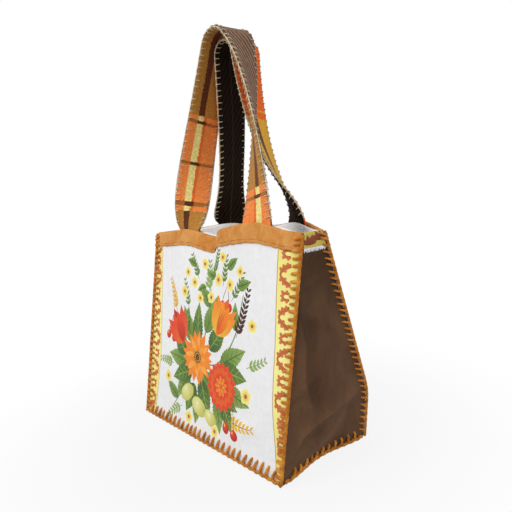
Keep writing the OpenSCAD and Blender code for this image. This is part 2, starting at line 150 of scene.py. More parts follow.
# Body of the bag: the same surfaces as its pattern pieces, t is 0 at the base and 1 at the mouth
body = dict(
    height=284, bottomWide=314, topWide=328, bottomDeep=152, topDeep=35,
    elbowOut=10, elbowHeight=64, elbowSoft=2.5, frontBulge=12, backBulge=60,
    mouthDent=15, mouthDip=10, leftHump=6, rightHump=14, backHump=8, humpSpread=45, humpFlank=70,
    foldX=2, foldSpread=34, foldFlank=10, foldFade=18,
    legLeft=-66.5, legRight=86.5, panelThick=1.6, liningThick=0.8, gap=0.3, endRoom=1.2,
)
gusset = dict(
    bellyOut=7, tuckIn=12, pinchOut=3, bellyHeight=0.32, bellySpread=0.28,
    ridgeFront=0.05, ridgeBack=0.24, pinchLow=(0.45, 0.25), pinchHigh=(0.05, 0.75),
    pinchReach=0.25, pinchSpread=0.22,
)
bandSize = dict(
    tall=20, endTall=17, turn=8, thick=1.2, halfWide=162.6, turnHalfWide=158.6, crown=0.9,
    waver=0.5, waverFrom=8, curl=0.35,
)
tall = body["height"]
ends = ((1, "right"), (-1, "left"))


def mix(a, b, f):
    return a + (b - a) * f


def ease(low, high, v):
    f = np.clip((v - low) / (high - low), 0, 1)
    return f * f * (3 - 2 * f)


def bell(v, middle, spread):
    return np.exp(-((v - middle) / spread) ** 2)


def swell(v):
    return np.sin(math.pi * v) ** 2


def unit(v):
    return v / np.linalg.norm(v, axis=-1, keepdims=True)


def halfWide(t):
    return mix(body["bottomWide"], body["topWide"], t) / 2


def frontEdge(t):
    return -mix(body["bottomDeep"], body["topDeep"], t) / 2


def backEdge(t):
    soft = body["elbowSoft"]
    out = body["bottomDeep"] / 2 + body["elbowOut"]
    bend = body["elbowHeight"] / tall
    upper = mix(out, body["topDeep"] / 2, (t - bend) / (1 - bend))
    lower = mix(body["bottomDeep"] / 2, out, t / bend)
    return -soft * np.logaddexp(-upper / soft, -lower / soft)


def mouthFold(x):
    # the front folds in between the handles, gently from the left and sharply on the right
    return bell(x, body["foldX"], np.where(x < body["foldX"], body["foldSpread"], body["foldFlank"]))


def frontLift(x):
    left, right = body["legLeft"], body["legRight"]
    flank = np.where(x < right, body["humpFlank"], body["humpSpread"])
    pulled = body["leftHump"] * bell(x, left, body["humpSpread"]) + body["rightHump"] * bell(x, right, flank)
    return pulled - body["mouthDip"] * mouthFold(x)


def backLift(x):
    spread = body["humpSpread"]
    return body["backHump"] * (bell(x, body["legLeft"], spread) + bell(x, body["legRight"], spread))


def bow(x, t):
    return (1 - (x / halfWide(t)) ** 2) * np.maximum(t, 0) ** 1.5


def frontAt(x, t, depth):
    x, t, depth = np.broadcast_arrays(np.asarray(x, float), t, depth)
    y = frontEdge(t) - body["frontBulge"] * bow(x, t)
    y = y + body["mouthDent"] * mouthFold(x) * np.maximum(t, 0) ** body["foldFade"]
    return np.stack([x, y + depth, tall * t + frontLift(x) * t ** 4], -1)


def backAt(x, t, depth):
    x, t, depth = np.broadcast_arrays(np.asarray(x, float), t, depth)
    y = backEdge(t) + body["backBulge"] * bow(x, t)
    return np.stack([x, y - depth, tall * t + backLift(x) * t ** 4], -1)


def pinch(v, t):
    # a broad slanting fold of the end
    low, high = gusset["pinchLow"], gusset["pinchHigh"]
    along = (t - low[1]) / (high[1] - low[1])
    off = np.abs(v - mix(low[0], high[0], along)) / gusset["pinchReach"]
    return ease(0, 1, 1 - off) * bell(along, 0.5, 2 * gusset["pinchSpread"]) * swell(v)


def endAt(side, v, t, depth):
    v, t, depth = np.broadcast_arrays(np.asarray(v, float), t, depth)
    ridge = mix(gusset["ridgeFront"], gusset["ridgeBack"], v)
    x = halfWide(t) + gusset["bellyOut"] * swell(v) * bell(t, gusset["bellyHeight"], gusset["bellySpread"])
    x = x + gusset["pinchOut"] * pinch(v, t) - gusset["tuckIn"] * swell(v) * (1 - ease(0, ridge, t))
    return np.stack([side * (x - depth), mix(endFront(t), endBack(t), v), tall * t], -1)


def endFront(t):
    return frontEdge(t) + body["panelThick"] + body["gap"]


def endBack(t):
    return backEdge(t) - body["panelThick"] - body["gap"]


def ripples(seed, count, shortest, longest, lean=180):
    # soft unevenness of cloth: a few crossing waves, about 1 high
    roll = random.Random(seed)
    waves = []
    while len(waves) < count:
        angle = math.radians(roll.uniform(-lean, lean))
        length = roll.uniform(shortest, longest)
        pace = math.tau / length
        waves.append((math.cos(angle) * pace, math.sin(angle) * pace, roll.uniform(0, 7)))

    def height(a, b):
        return sum(np.sin(p * a + q * b + r) for p, q, r in waves) / math.sqrt(count)
    return height


broadRipple = ripples(3, 6, 70, 150)
smallRipple = ripples(5, 8, 18, 45)
gatherRipple = ripples(8, 5, 14, 30, lean=12)
napRipple = ripples(12, 9, 25, 70)
rumples = dict(
    broad=0.8, small=0.18, gather=0.5, gatherFrom=170, gatherTo=262, flatFoot=25,
    backBroad=0.9, backSmall=0.2, endBroad=0.7, endNap=0.12, endDeep=150, endShift=40,
)
pucker = dict(start=(40, 22), end=(128, 62), high=2.4, spread=9)


def puckerRise(x, z):
    # a slack fold that runs up towards the corner seam
    (x0, z0), (x1, z1) = pucker["start"], pucker["end"]
    long = math.hypot(x1 - x0, z1 - z0)
    along = ((x - x0) * (x1 - x0) + (z - z0) * (z1 - z0)) / long ** 2
    off = ((z - z0) * (x1 - x0) - (x - x0) * (z1 - z0)) / long
    return pucker["high"] * bell(off, 0, pucker["spread"]) * swell(np.clip(along, 0, 1))


def slack(x, t):
    # cloth lies flat at the side seams and at the base
    return (1 - np.clip(np.abs(x) / halfWide(t), 0, 1) ** 6) * ease(0, rumples["flatFoot"], t * tall)


def frontSkin(x, t, depth):
    x, t = np.broadcast_arrays(np.asarray(x, float), t)
    z = t * tall
    gathers = rumples["gather"] * gatherRipple(x, z) * ease(rumples["gatherFrom"], rumples["gatherTo"], z)
    rumple = rumples["broad"] * broadRipple(x, z) + rumples["small"] * smallRipple(x, z) + gathers
    return frontAt(x, t, depth + rumple * slack(x, t) - puckerRise(x, z))


def backSkin(x, t, depth):
    x, t = np.broadcast_arrays(np.asarray(x, float), t)
    z = t * tall
    rumple = rumples["backBroad"] * broadRipple(x + 90, z) + rumples["backSmall"] * smallRipple(x, z + 60)
    return backAt(x, t, depth + rumple * slack(x, t))


# Creases where the gusset has been folded flat, as (share of its depth, share of its height)
creases = dict(
    tall=((0.255, 0.27), (0.165, 0.40), (0.16, 0.55), (0.085, 0.632), (0.0, 0.71)),
    low=((0.09, 0.10), (0.176, 0.165), (0.383, 0.205), (0.609, 0.226), (0.93, 0.238)),
    high=4.0, gentle=16.0, steep=6.0, blunt=4.0, hollow=0.3, hollowOff=10, hollowWide=7,
    # the last four set the painted light and shade beside a crease: its reach on the lit side and on the
    # shaded side, its sharpness and its strength
    lit=15.0, shaded=14.0, crisp=2.0, paintedShading=0.4,
)


def creaseSides(v, t):
    # distance past each crease, negative on its gentle side, and how much of it shows there
    tallV, tallT = np.array(creases["tall"]).T
    lowV, lowT = np.array(creases["low"]).T
    beside = (v - np.interp(t, tallT, tallV)) * (endBack(t) - endFront(t))
    below = (np.interp(v, lowV, lowT) - t) * tall
    tallFade = ease(0.0, 0.07, v) * ease(0.22, 0.34, t) * ease(0.8, 0.66, t)
    lowFade = ease(0.04, 0.2, v) * ease(0.97, 0.8, v)
    return (beside, tallFade), (below, lowFade)


def creaseRise(v, t):
    # a ridge that climbs gently and drops steeply into a hollow
    rise = 0
    for off, fade in creaseSides(v, t):
        slope = np.where(off < 0, creases["gentle"], creases["steep"])
        away = np.hypot(off, creases["blunt"]) - creases["blunt"]
        hollow = creases["hollow"] * bell(off, creases["hollowOff"], creases["hollowWide"])
        rise = rise + creases["high"] * fade * (np.exp(-away / slope) - hollow)
    return rise


def paintedCreaseShading(v, t):
    # painted light on the gentle side of a crease and painted shade under its drop
    paintedShading = 0
    for off, fade in creaseSides(v, t):
        reach = np.where(off < 0, creases["lit"], creases["shaded"])
        paintedShading = paintedShading - fade * np.tanh(off / creases["crisp"]) * np.exp(-np.abs(off) / reach)
    return np.clip(paintedShading, -1, 1)


def endSkin(side, v, t, depth):
    v, t = np.broadcast_arrays(np.asarray(v, float), t)
    y, z = v * rumples["endDeep"] + rumples["endShift"] * side, t * tall
    rumple = rumples["endBroad"] * broadRipple(y, z) + rumples["endNap"] * napRipple(y, z)
    soft = rumple * swell(v) * ease(0.02, 0.15, t) * ease(1, 0.86, t)
    return endAt(side, v, t, depth + soft - creaseRise(v, t))


# Meshes
def rimLoop(grid):
    return np.concatenate([grid[0, :-1], grid[:-1, -1], grid[-1, :0:-1], grid[:0:-1, 0]])


def slab(outer, inner):
    # closed sheet between two grids of points, rows upwards and columns to the right seen from outside
    m, n = outer.shape[:2]
    grid = np.arange(m * n).reshape(m, n)
    skin = np.stack([grid[:-1, :-1], grid[:-1, 1:], grid[1:, 1:], grid[1:, :-1]], -1).reshape(-1, 4)
    loop = rimLoop(grid)
    after = np.roll(loop, -1)
    rim = np.stack([loop, loop + m * n, after + m * n, after], -1)
    points = np.concatenate([outer.reshape(-1, 3), inner.reshape(-1, 3)])
    return points, np.concatenate([skin, skin[:, ::-1] + m * n, rim]).tolist()


def ringFaces(m, n):
    # faces between closed rings of points, and one over each end
    grid = np.arange(m * n).reshape(m, n)
    after = np.roll(grid, -1, axis=1)
    faces = np.stack([grid[:-1], after[:-1], after[1:], grid[1:]], -1).reshape(-1, 4).tolist()
    return faces + [grid[0][::-1].tolist(), grid[-1].tolist()]


def lengthAlong(path):
    return np.concatenate([[0], np.cumsum(np.linalg.norm(np.diff(path, axis=0), axis=1))])


def stitchWave(turns):
    # 1 at each stitch and 0 half way to the next
    return 0.5 + 0.5 * np.cos(math.tau * turns)


def curveThrough(points, count):
    # smooth line through a few points
    points = np.asarray(points, float)
    held = np.concatenate([[2 * points[0] - points[1]], points, [2 * points[-1] - points[-2]]])
    place = np.linspace(0, len(points) - 1, count)
    k = np.minimum(place.astype(int), len(points) - 2)
    f = (place - k)[:, None]
    a, b, c, d = held[k], held[k + 1], held[k + 2], held[k + 3]
    return b + 0.5 * f * (c - a + f * (2 * a - 5 * b + 4 * c - d + f * (3 * (b - c) + d - a)))


def tube(path, radius, sides, plies, lobe, lay, start=0.0):
    # spun yarn: a round section with one lobe for each ply, turning once in each lay
    run = unit(np.gradient(path, axis=0))
    side = np.cross(run[0], (0.31, 0.52, 0.79))
    angles = np.arange(sides) * math.tau / sides
    radius = np.broadcast_to(radius, (len(path),))
    rings = []
    for p, t, r, s in zip(path, run, radius, lengthAlong(path)):
        side = unit(side - side.dot(t) * t)
        spread = r * (1 + lobe * np.cos(plies * (angles - start - s * math.tau / lay)))
        section = np.cos(angles)[:, None] * side + np.sin(angles)[:, None] * np.cross(t, side)
        rings.append(p + spread[:, None] * section)
    return np.concatenate(rings), ringFaces(len(path), sides)


def joined(parts):
    points, faces, count = [], [], 0
    for somePoints, someFaces in parts:
        points.append(somePoints)
        faces += [[i + count for i in face] for face in someFaces]
        count += len(somePoints)
    return np.concatenate(points), faces


def addPiece(name, points, faces, material, slot, *nodes):
    mesh = bpy.data.meshes.new(name)
    mesh.from_pydata((np.asarray(points) * mm).tolist(), [], faces)
    mesh.polygons.foreach_set("use_smooth", [True] * len(mesh.polygons))
    mesh.materials.append(material)
    piece = bpy.data.objects.new(name + "_sewn" if nodes else name, mesh)
    scene.collection.objects.link(piece)
    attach(piece, "root")
    if nodes:
        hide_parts(*nodes)
    return piece


def giveThickness(piece, thick):
    bpy.context.view_layer.objects.active = piece
    modifier = piece.modifiers.new("thickness", "SOLIDIFY")
    modifier.thickness = thick * mm
    modifier.offset = -1
    bpy.ops.object.modifier_apply(modifier=modifier.name)
    for vertex in piece.data.vertices:
        vertex.co.z = max(vertex.co.z, 0)


def keepValues(piece, name, values):
    attribute = piece.data.attributes.new(name, "FLOAT", "POINT")
    attribute.data.foreach_set("value", np.asarray(values, np.float32))


# Printed cotton: plain weave, dyed in flat fields, so the cloth keeps a matt, slightly fuzzy face
# threads are 0.6 mm apart, drawn at about twice that so that they show
cotton = dict(white="#EAEAEB", threadSpacing=1.3, slub=7, meshSize=3.2, topRoom=2)
waveLong = math.tau / 20  # a wave texture repeats at this length at scale 1


def printedCotton():
    material, tree, shader = newMaterial(
        "printed_cotton_plain_weave", Roughness=0.86, Sheen_Weight=0.12, Specular_IOR_Level=0.25)
    place = ownPlace(tree)
    threads = []
    for way in ("X", "Z"):
        links = dict(Vector=place, Scale=waveLong / (cotton["threadSpacing"] * mm), Distortion=1.2)
        threads.append(addNode(tree, "TexWave", dict(bands_direction=way), links).outputs["Fac"])
    shade = remap(tree, noise(tree, place, cotton["slub"], 6.0), 0.3, 0.7, 0.95, 1.02)
    colour = blend(tree, 1.0, ownValue(tree, "dye", "Color"), shade, "MULTIPLY")
    dress(tree, shader, colour, 0.18, 0.4, maths(tree, "MULTIPLY", *threads))
    return material


# Suede: split hide with a brushed nap, so no gloss, a soft bright rim and cloudy stroke marks
def suede(name, tones, sheen, tint, patch, mouthShade=1.0):
    material, tree, shader = newMaterial(
        name, Roughness=0.93, Sheen_Weight=sheen, Sheen_Roughness=0.45, Sheen_Tint=linear(tint),
        Specular_IOR_Level=0.12)
    place = ownPlace(tree)
    stroke = noise(tree, place, patch, 7.0, Roughness=0.62, Distortion=0.6)
    nap = noise(tree, place, 0.9, 3.0)
    colour = ramp(tree, maths(tree, "MULTIPLY_ADD", nap, 0.35, stroke), (0.48, 0.66, 0.88), tones)
    # painted shade darkens the suede towards the mouth, where the end leans in under its band, and painted
    # light and shade lie beside each crease
    height = addNode(tree, "SeparateXYZ", {}, dict(Vector=place)).outputs["Z"]
    mouthPaintedShade = remap(tree, height, 0.4 * tall * mm, tall * mm, 1.0, mouthShade, interpolation_type="SMOOTHSTEP")
    creaseLightAndShade = maths(tree, "MULTIPLY_ADD", ownValue(tree, "fold"), creases["paintedShading"], 1.0)
    shaded = blend(tree, 1.0, colour, maths(tree, "MULTIPLY", mouthPaintedShade, creaseLightAndShade), "MULTIPLY")
    dress(tree, shader, shaded, 0.35, 0.6, nap)
    return material


# Ribbed cloth of the strap backs: needle ribs that run slightly across the strap and catch the light
# real ribs are about 2 mm apart, drawn wider so that they show
ribs = dict(spacing=7.4, lean=0.55, wobble=4, wobbleLong=9, cloud=16, middle=1.0, tint="#C9B09A")


def ribbedCloth(name, tones, middle, sheen):
    material, tree, shader = newMaterial(
        name, Roughness=0.92, Sheen_Weight=sheen, Sheen_Roughness=0.4, Sheen_Tint=linear(ribs["tint"]),
        Specular_IOR_Level=0.12)
    place = ownPlace(tree)
    across = ownValue(tree, "across")
    slant = maths(tree, "MULTIPLY_ADD", ownValue(tree, "along"), ribs["lean"], across)
    wobble = noise(tree, place, ribs["wobbleLong"], 3.0)
    line = maths(tree, "MULTIPLY_ADD", wobble, ribs["wobble"] * mm, slant)
    rib = maths(tree, "SINE", maths(tree, "MULTIPLY", line, math.tau / (ribs["spacing"] * mm)))
    cloud = noise(tree, place, ribs["cloud"], 5.0)
    level = maths(tree, "MULTIPLY_ADD", cloud, 0.3, remap(tree, rib, -1.0, 1.0, 0.2, 0.8))
    colour = ramp(tree, maths(tree, "SUBTRACT", level, 0.15), (0.0, 0.5, 1.0), tones)
    # one plain line along the middle of the strap
    wide = ribs["middle"] * mm
    onMiddle = remap(tree, maths(tree, "ABSOLUTE", across), 0.4 * wide, wide, 1.0, 0.0)
    dress(tree, shader, blend(tree, onMiddle, colour, linear(middle)), 0.55, 0.8, rib)
    return material


# Plaid wool: milled blanket cloth, so the checks have soft edges and a felted face
plaid = dict(
    orange="#EC8744", deepOrange="#E06C2A", redOrange="#EC6318", mustard="#B27C34", gold="#DBA328",
    pale="#EDDC8C", brown="#5C2E1B", olive="#A2652C", tint="#F3D9B8",
    fuzz=2.2, feather=1.1, stripe=(0.27, 0.47), sideStripe=(0.47, 0.56),
)


def plaidWool(name, zones, length, ground, orange):
    # zones are (millimetres from the left foot, kind), kind being orange, ground or band
    material, tree, shader = newMaterial(
        name, Roughness=0.95, Sheen_Weight=0.3, Sheen_Roughness=0.5, Sheen_Tint=linear(plaid["tint"]),
        Specular_IOR_Level=0.1)
    fuzz = noise(tree, ownPlace(tree), plaid["fuzz"], 4.0)
    soft, half = plaid["feather"] * mm, strap["wide"] / 2 * mm
    feather = remap(tree, fuzz, 0.3, 0.7, -soft, soft)
    lengthwise = maths(tree, "ADD", ownValue(tree, "along"), feather)
    sideways = maths(tree, "ADD", ownValue(tree, "across"), feather)
    step = remap(tree, lengthwise, 0.0, length * mm, 0.0, 1.0)
    reach = remap(tree, sideways, half, -half, 0.0, 1.0)
    starts = [zone[0] / length for zone in zones]

    def checks(**colours):
        return ramp(tree, step, starts, [colours[zone[1]] for zone in zones], "CONSTANT")

    def lane(low, high):
        return ramp(tree, reach, (0.0, low, high), ("#000000", "#FFFFFF", "#000000"), "CONSTANT")

    colour = checks(orange=orange, ground=ground, band=plaid["olive"])
    lines = checks(orange=plaid["pale"], ground=plaid["brown"], band=plaid["brown"])
    besides = checks(orange=plaid["deepOrange"], ground=ground, band=plaid["brown"])
    colour = blend(tree, lane(*plaid["stripe"]), colour, lines)
    colour = blend(tree, lane(*plaid["sideStripe"]), colour, besides)
    felted = blend(tree, 1.0, colour, remap(tree, fuzz, 0.3, 0.7, 0.72, 1.22), "MULTIPLY")
    dress(tree, shader, felted, 0.5, 0.8, fuzz)
    return material


# Spun yarn and thread: wool plies with stray fibre, so the colour runs lighter and darker along them
def spunYarn(name, tones, patch, fibre, sheen=0.25):
    material, tree, shader = newMaterial(
        name, Roughness=0.9, Sheen_Weight=sheen, Sheen_Roughness=0.5, Specular_IOR_Level=0.15)
    place = ownPlace(tree)
    patchy = noise(tree, place, patch, 4.0)
    hairs = noise(tree, place, fibre, 3.0)
    colour = ramp(tree, maths(tree, "MULTIPLY_ADD", hairs, 0.5, patchy), (0.5, 0.75, 1.0), tones)
    dress(tree, shader, colour, 0.4, 0.4, hairs)
    return material


# Print: fields of colour with plain outlines, flat on the cloth
dyes = dict(
    yellow="#F4EE94", deepYellow="#EBE07A", terracotta="#C0683C", paleTerracotta="#CE8050", line="#A9743C",
    orange="#F08A28", paleOrange="#F6AC54", deepOrange="#DE6420", red="#E2492A", deepRed="#B8321F",
    gold="#E3B43A", lemon="#C3BE5E", paleLemon="#E0DE96", leaf="#668438", deepLeaf="#42602A",
    paleLeaf="#8FAA5A", brown="#70462A", darkBrown="#4B2E22", cream="#F0EBD2",
    bandLeaf="#7A3B22", bandLeafTip="#8E4A2A", bandGround="#C9B452",
)


def field(outline, inner, outer=None, heart=None, reach=1.0):
    # colour runs from inner at the heart to outer at the reach
    inner, outer = dyes[inner], dyes[outer or inner]
    return dict(outline=np.asarray(outline, float), inner=inner, outer=outer, heart=heart, reach=reach)


def placed(points, x, z, turn):
    c, s = math.cos(math.radians(turn)), math.sin(math.radians(turn))
    return np.asarray(points) @ np.array([[c, s], [-s, c]]) + (x, z)


def petalLine(long, wide, blunt, steps=9, teeth=0, bend=0.0):
    s = np.linspace(0, 1, steps)
    half = wide / 2 * np.sin(math.pi * s ** blunt) * (1 + teeth * (np.arange(steps) % 2))
    middle = bend * long * s ** 2
    upper = np.stack([s * long, middle + half], -1)
    lower = np.stack([s * long, middle - half], -1)[1:-1]
    return np.concatenate([upper, lower[::-1]])


def petal(x, z, turn, long, wide, inner, outer, blunt=0.8):
    return field(placed(petalLine(long, wide, blunt), x, z, turn), inner, outer, (x, z), long)


def disc(x, z, across, tallness, inner, outer=None, turn=0, shift=(0.0, 0.0), steps=22):
    a = np.arange(steps) * math.tau / steps
    ring = np.stack([np.cos(a) * across / 2, np.sin(a) * tallness / 2], -1)
    heart = (x + shift[0], z + shift[1])
    return field(placed(ring, x, z, turn), inner, outer, heart, max(across, tallness) / 1.6)


def strip(points, wide, colour, steps=14, tip=0.3):
    line = curveThrough(points, steps)
    run = unit(np.gradient(line, axis=0))
    across = np.stack([-run[:, 1], run[:, 0]], -1)
    half = wide / 2 * (tip + (1 - tip) * np.sin(math.pi * np.linspace(0.04, 0.96, steps)) ** 0.6)
    off = across * half[:, None]
    return field(np.concatenate([line + off, (line - off)[::-1]]), colour)


def leafMotif(x, z, turn, long, wide, bend, inner="leaf", outer="paleLeaf", vein="deepLeaf"):
    blade = placed(petalLine(long, wide, 0.72, 25, 0.16, bend), x, z, turn)
    shapes = [field(blade, inner, outer, (x, z), long * 1.1)]
    rib = [(0, 0), (0.5 * long, 0.25 * bend * long), (0.95 * long, 0.9 * bend * long)]
    shapes.append(strip(placed(rib, x, z, turn), 1.3, vein))
    for share in (0.25, 0.42, 0.6):
        for side in (-1, 1):
            root = (share * long, bend * long * share ** 2)
            end = ((share + 0.17) * long, bend * long * share ** 2 + side * wide * 0.33)
            half = ((root[0] + end[0]) / 2 + 1, (root[1] + end[1]) / 2)
            shapes.append(strip(placed([root, half, end], x, z, turn), 0.8, vein, 6))
    return shapes


def rayFlower(x, z, size):
    shapes = []
    rings = (
        (1.0, 17, "deepOrange", "orange"), (0.8, 15, "orange", "paleOrange"), (0.5, 12, "deepOrange", "gold"))
    for ring, (share, count, inner, outer) in enumerate(rings):
        for k in range(count):
            turn = 360 * (k + 0.4 * ring) / count + dice.uniform(-5, 5)
            long = size * share * dice.uniform(0.93, 1.05)
            shapes.append(petal(x, z, turn, long, long * 0.32, inner, outer if k % 2 else "orange", 1.1))
    shapes.append(disc(x, z, size * 0.42, size * 0.42, "brown", "darkBrown"))
    for k in range(12):
        a = math.tau * k / 12
        spot = x + math.cos(a) * size * 0.15, z + math.sin(a) * size * 0.15
        shapes.append(disc(*spot, 2.2, 2.2, "gold", steps=7))
    return shapes


def cupFlower(x, z, turn, size, deep, mid, pale):
    shapes = []
    for lean, long, wide, inner, outer in (
            (24, 0.98, 0.36, deep, mid), (-24, 0.98, 0.36, deep, mid), (0, 1.0, 0.46, deep, deep),
            (34, 0.86, 0.36, pale, mid), (-34, 0.86, 0.36, pale, mid), (9, 0.9, 0.4, pale, mid),
            (-9, 0.86, 0.38, deep, mid)):
        shapes.append(petal(x, z, turn + lean, size * long, size * wide, inner, outer, 0.85))
    for lean in (-6, 3, 12):
        line = placed([(0.15 * size, 0), (0.4 * size, 0.8), (0.68 * size, 0)], x, z, turn + lean)
        shapes.append(strip(line, 0.9, "deepRed", 7))
    return shapes


def roundFlower(x, z, size):
    shapes = []
    rings = (
        (1.0, 17, "deepRed", "red"), (0.8, 15, "red", "deepOrange"), (0.6, 12, "deepRed", "red"),
        (0.42, 9, "red", "orange"), (0.24, 6, "deepOrange", "gold"))
    for ring, (share, count, inner, outer) in enumerate(rings):
        for k in range(count):
            turn = 360 * (k + 0.5 * (ring % 2)) / count
            shapes.append(petal(x, z, turn, size * share, size * share * 0.42, inner, outer, 1.7))
    return shapes


def blossom(x, z, size):
    shapes = [petal(x, z, 72 * k + 18, size, size * 0.85, "gold", "yellow", 1.5) for k in range(5)]
    return shapes + [disc(x, z, size * 0.5, size * 0.5, "deepOrange", "brown", steps=10)]


def sprig(x, z, turn, long, leafLong, count, colour, stem, bend=0.15):
    line = [(0, 0), (0.5 * long, 0.3 * bend * long), (long, bend * long)]
    shapes = [strip(placed(line, x, z, turn), 1.2, stem)]
    for k in range(count):
        share = (k + 1) / count
        root = placed([(share * long, bend * long * share ** 2)], x, z, turn)[0]
        size = leafLong * (1.1 - 0.5 * share)
        for side in (-1, 1):
            shapes.append(petal(*root, turn + side * 42 + 12, size, size * 0.42, colour, colour, 0.9))
    return shapes


def cherries(x, z, size):
    shapes = []
    top = (x + 0.2 * size, z + 2.1 * size)
    for dx, dz in ((-0.62 * size, 0), (0.62 * size, -0.25 * size)):
        shine = x + dx - 0.2 * size, z + dz + 0.2 * size
        shapes.append(strip([(x + dx, z + dz + 0.4 * size), (x + 0.7 * dx, z + size), top], 1.1, "brown", 8))
        shapes.append(disc(x + dx, z + dz, size, size, "red", "deepRed", shift=(-0.2 * size, 0.2 * size)))
        shapes.append(disc(*shine, 0.22 * size, 0.3 * size, "paleOrange", steps=8))
    return shapes


def citrus(x, z, turn, long):
    tip = placed([(0.4 * long, 0)], x, z, turn)[0]
    shine = x - 0.12 * long, z + 0.12 * long
    return [
        petal(*tip, turn, 0.16 * long, 0.16 * long, "lemon", "leaf", 1.0),
        disc(x, z, long, long * 0.66, "paleLemon", "lemon", turn, (-0.15 * long, 0.12 * long)),
        disc(*shine, 0.2 * long, 0.12 * long, "cream", "paleLemon", turn, steps=10),
    ]


# Places of the flowers, leaves and fruit: x from the middle, z from the base, then turn and length, or size
spray = dict(
    stems=(
        ([(-86, 26), (-50, 70), (-18, 120), (4, 190), (-8, 240)], 2.4),
        ([(-22, 112), (20, 110), (58, 150), (74, 205)], 2.0), ([(-40, 84), (-74, 120), (-96, 175)], 1.8)),
    leaves=(
        (-38, 130, 118, 56, 25), (-6, 150, 62, 58, 25), (-48, 100, 168, 52, 24), (30, 112, 28, 58, 26),
        (-10, 96, -42, 54, 25), (-40, 84, 226, 52, 24), (24, 70, -72, 50, 23), (44, 84, -14, 52, 23),
        (-20, 60, -96, 42, 20), (4, 186, 128, 40, 18), (-70, 44, 152, 38, 17), (60, 160, 96, 36, 15)),
    deepLeaves=(
        (-26, 128, 92, 62, 24), (-52, 112, 140, 44, 26), (4, 128, 44, 52, 27), (26, 104, 4, 60, 28),
        (14, 84, -28, 62, 28), (-14, 84, -70, 56, 27), (-34, 92, 200, 54, 27), (-28, 74, 244, 48, 25),
        (36, 66, -48, 44, 22), (-58, 140, 84, 40, 19)),
    sprigs=(
        (62, 152, 62, 60, 12, 9, "darkBrown", "darkBrown"), (-84, 168, 104, 48, 13, 7, "gold", "brown"),
        (-2, 206, 82, 42, 13, 6, "paleLeaf", "leaf"), (-84, 92, 172, 38, 12, 6, "paleLeaf", "leaf"),
        (52, 46, -8, 46, 13, 6, "gold", "brown"), (-58, 36, 204, 44, 12, 6, "paleLeaf", "leaf"),
        (84, 118, 16, 34, 11, 5, "paleLeaf", "leaf")),
    fruit=((-46, 58, 35, 34), (-16, 44, -22, 36), (12, 36, 160, 30)),
    cherries=((58, 34, 15), (-98, 132, 13), (38, 190, 12)),
    topSprigs=(
        (30, 214, 70, 36), (-26, 222, 112, 34), (50, 196, 48, 40), (-50, 176, 96, 40), (8, 230, 58, 30)),
    topLeaves=(
        (14, 226, 150, 24), (40, 236, 24, 24), (-34, 240, 160, 22), (62, 214, 10, 26), (-8, 214, 196, 22)),
    blossoms=(
        (-62, 200, 10), (20, 222, 10), (86, 84, 11), (-100, 70, 10), (24, 22, 9), (-36, 216, 9),
        (-40, 24, 10), (92, 170, 9), (-14, 246, 9), (46, 216, 9), (66, 232, 8), (-54, 228, 8),
        (30, 250, 8), (4, 200, 9), (-22, 196, 8)),
)


def bouquet():
    shapes = [strip(points, wide, "leaf", 26) for points, wide in spray["stems"]]
    for leaf in spray["leaves"]:
        shapes += leafMotif(*leaf, dice.uniform(-0.12, 0.12))
    for leaf in spray["deepLeaves"]:
        shapes += leafMotif(*leaf, dice.uniform(-0.1, 0.1), "deepLeaf", "leaf", "paleLeaf")
    for place in spray["sprigs"]:
        shapes += sprig(*place)
    for place in spray["fruit"]:
        shapes += citrus(*place)
    for place in spray["cherries"]:
        shapes += cherries(*place)
    shapes += cupFlower(-62, 126, 126, 56, "deepRed", "red", "deepOrange")
    shapes += cupFlower(20, 150, 64, 54, "deepOrange", "orange", "gold")
    shapes += roundFlower(34, 84, 33)
    shapes += rayFlower(-24, 112, 38)
    for place in spray["topSprigs"]:
        shapes += sprig(*place, 10, 6, "leaf", "deepLeaf")
    for x, z, turn, long in spray["topLeaves"]:
        shapes += leafMotif(x, z, turn, long, long * 0.5, 0.1)
    for place in spray["blossoms"]:
        shapes += blossom(*place)
    return shapes


# Yellow side borders with a leafy scroll, the usual ornament of printed kitchen cloth
border = dict(
    # the third number is the width of the painted seam shade along each cut edge
    repeat=48, lineWide=1.0, seamShadeWide=1.4, margin=0.8, fadeLong=160, rightStart=-4, leftStart=24,
    right=((0, 8), (39, 14.6), (61, 20), (95, 25.7), (167, 29), (284, 34.5)),
    left=((0, 22), (30, 25), (65, 28.5), (100, 32), (135, 30), (170, 27), (232, 22), (284, 21)),
)
# places are (millimetres from the border's edge, height), leaves add turn and length
scroll = dict(
    back=((7.4, 5.4), (5, 0), (7.4, -5.4)),
    limb=((6.5, 3.6), (10.5, 6.8), (15, 9.4), (21, 11.4)),
    limbLeaves=((7, 5, 150, 4.6), (11, 7.6, 124, 5.2), (16, 10, 104, 4.6), (10, 5.6, -24, 5.0)),
    arm=((10, 2), (14, 3.9), (20, 3.4)), armLeaves=((12, 2, 142, 7.0), (16, 3.6, 96, 4.2)), leafWide=4.6,
)


def borderEdge(side, z):
    heights, wides = np.array(border["right"] if side > 0 else border["left"]).T
    return side * (halfWide(z / tall) - np.interp(z, heights, wides))


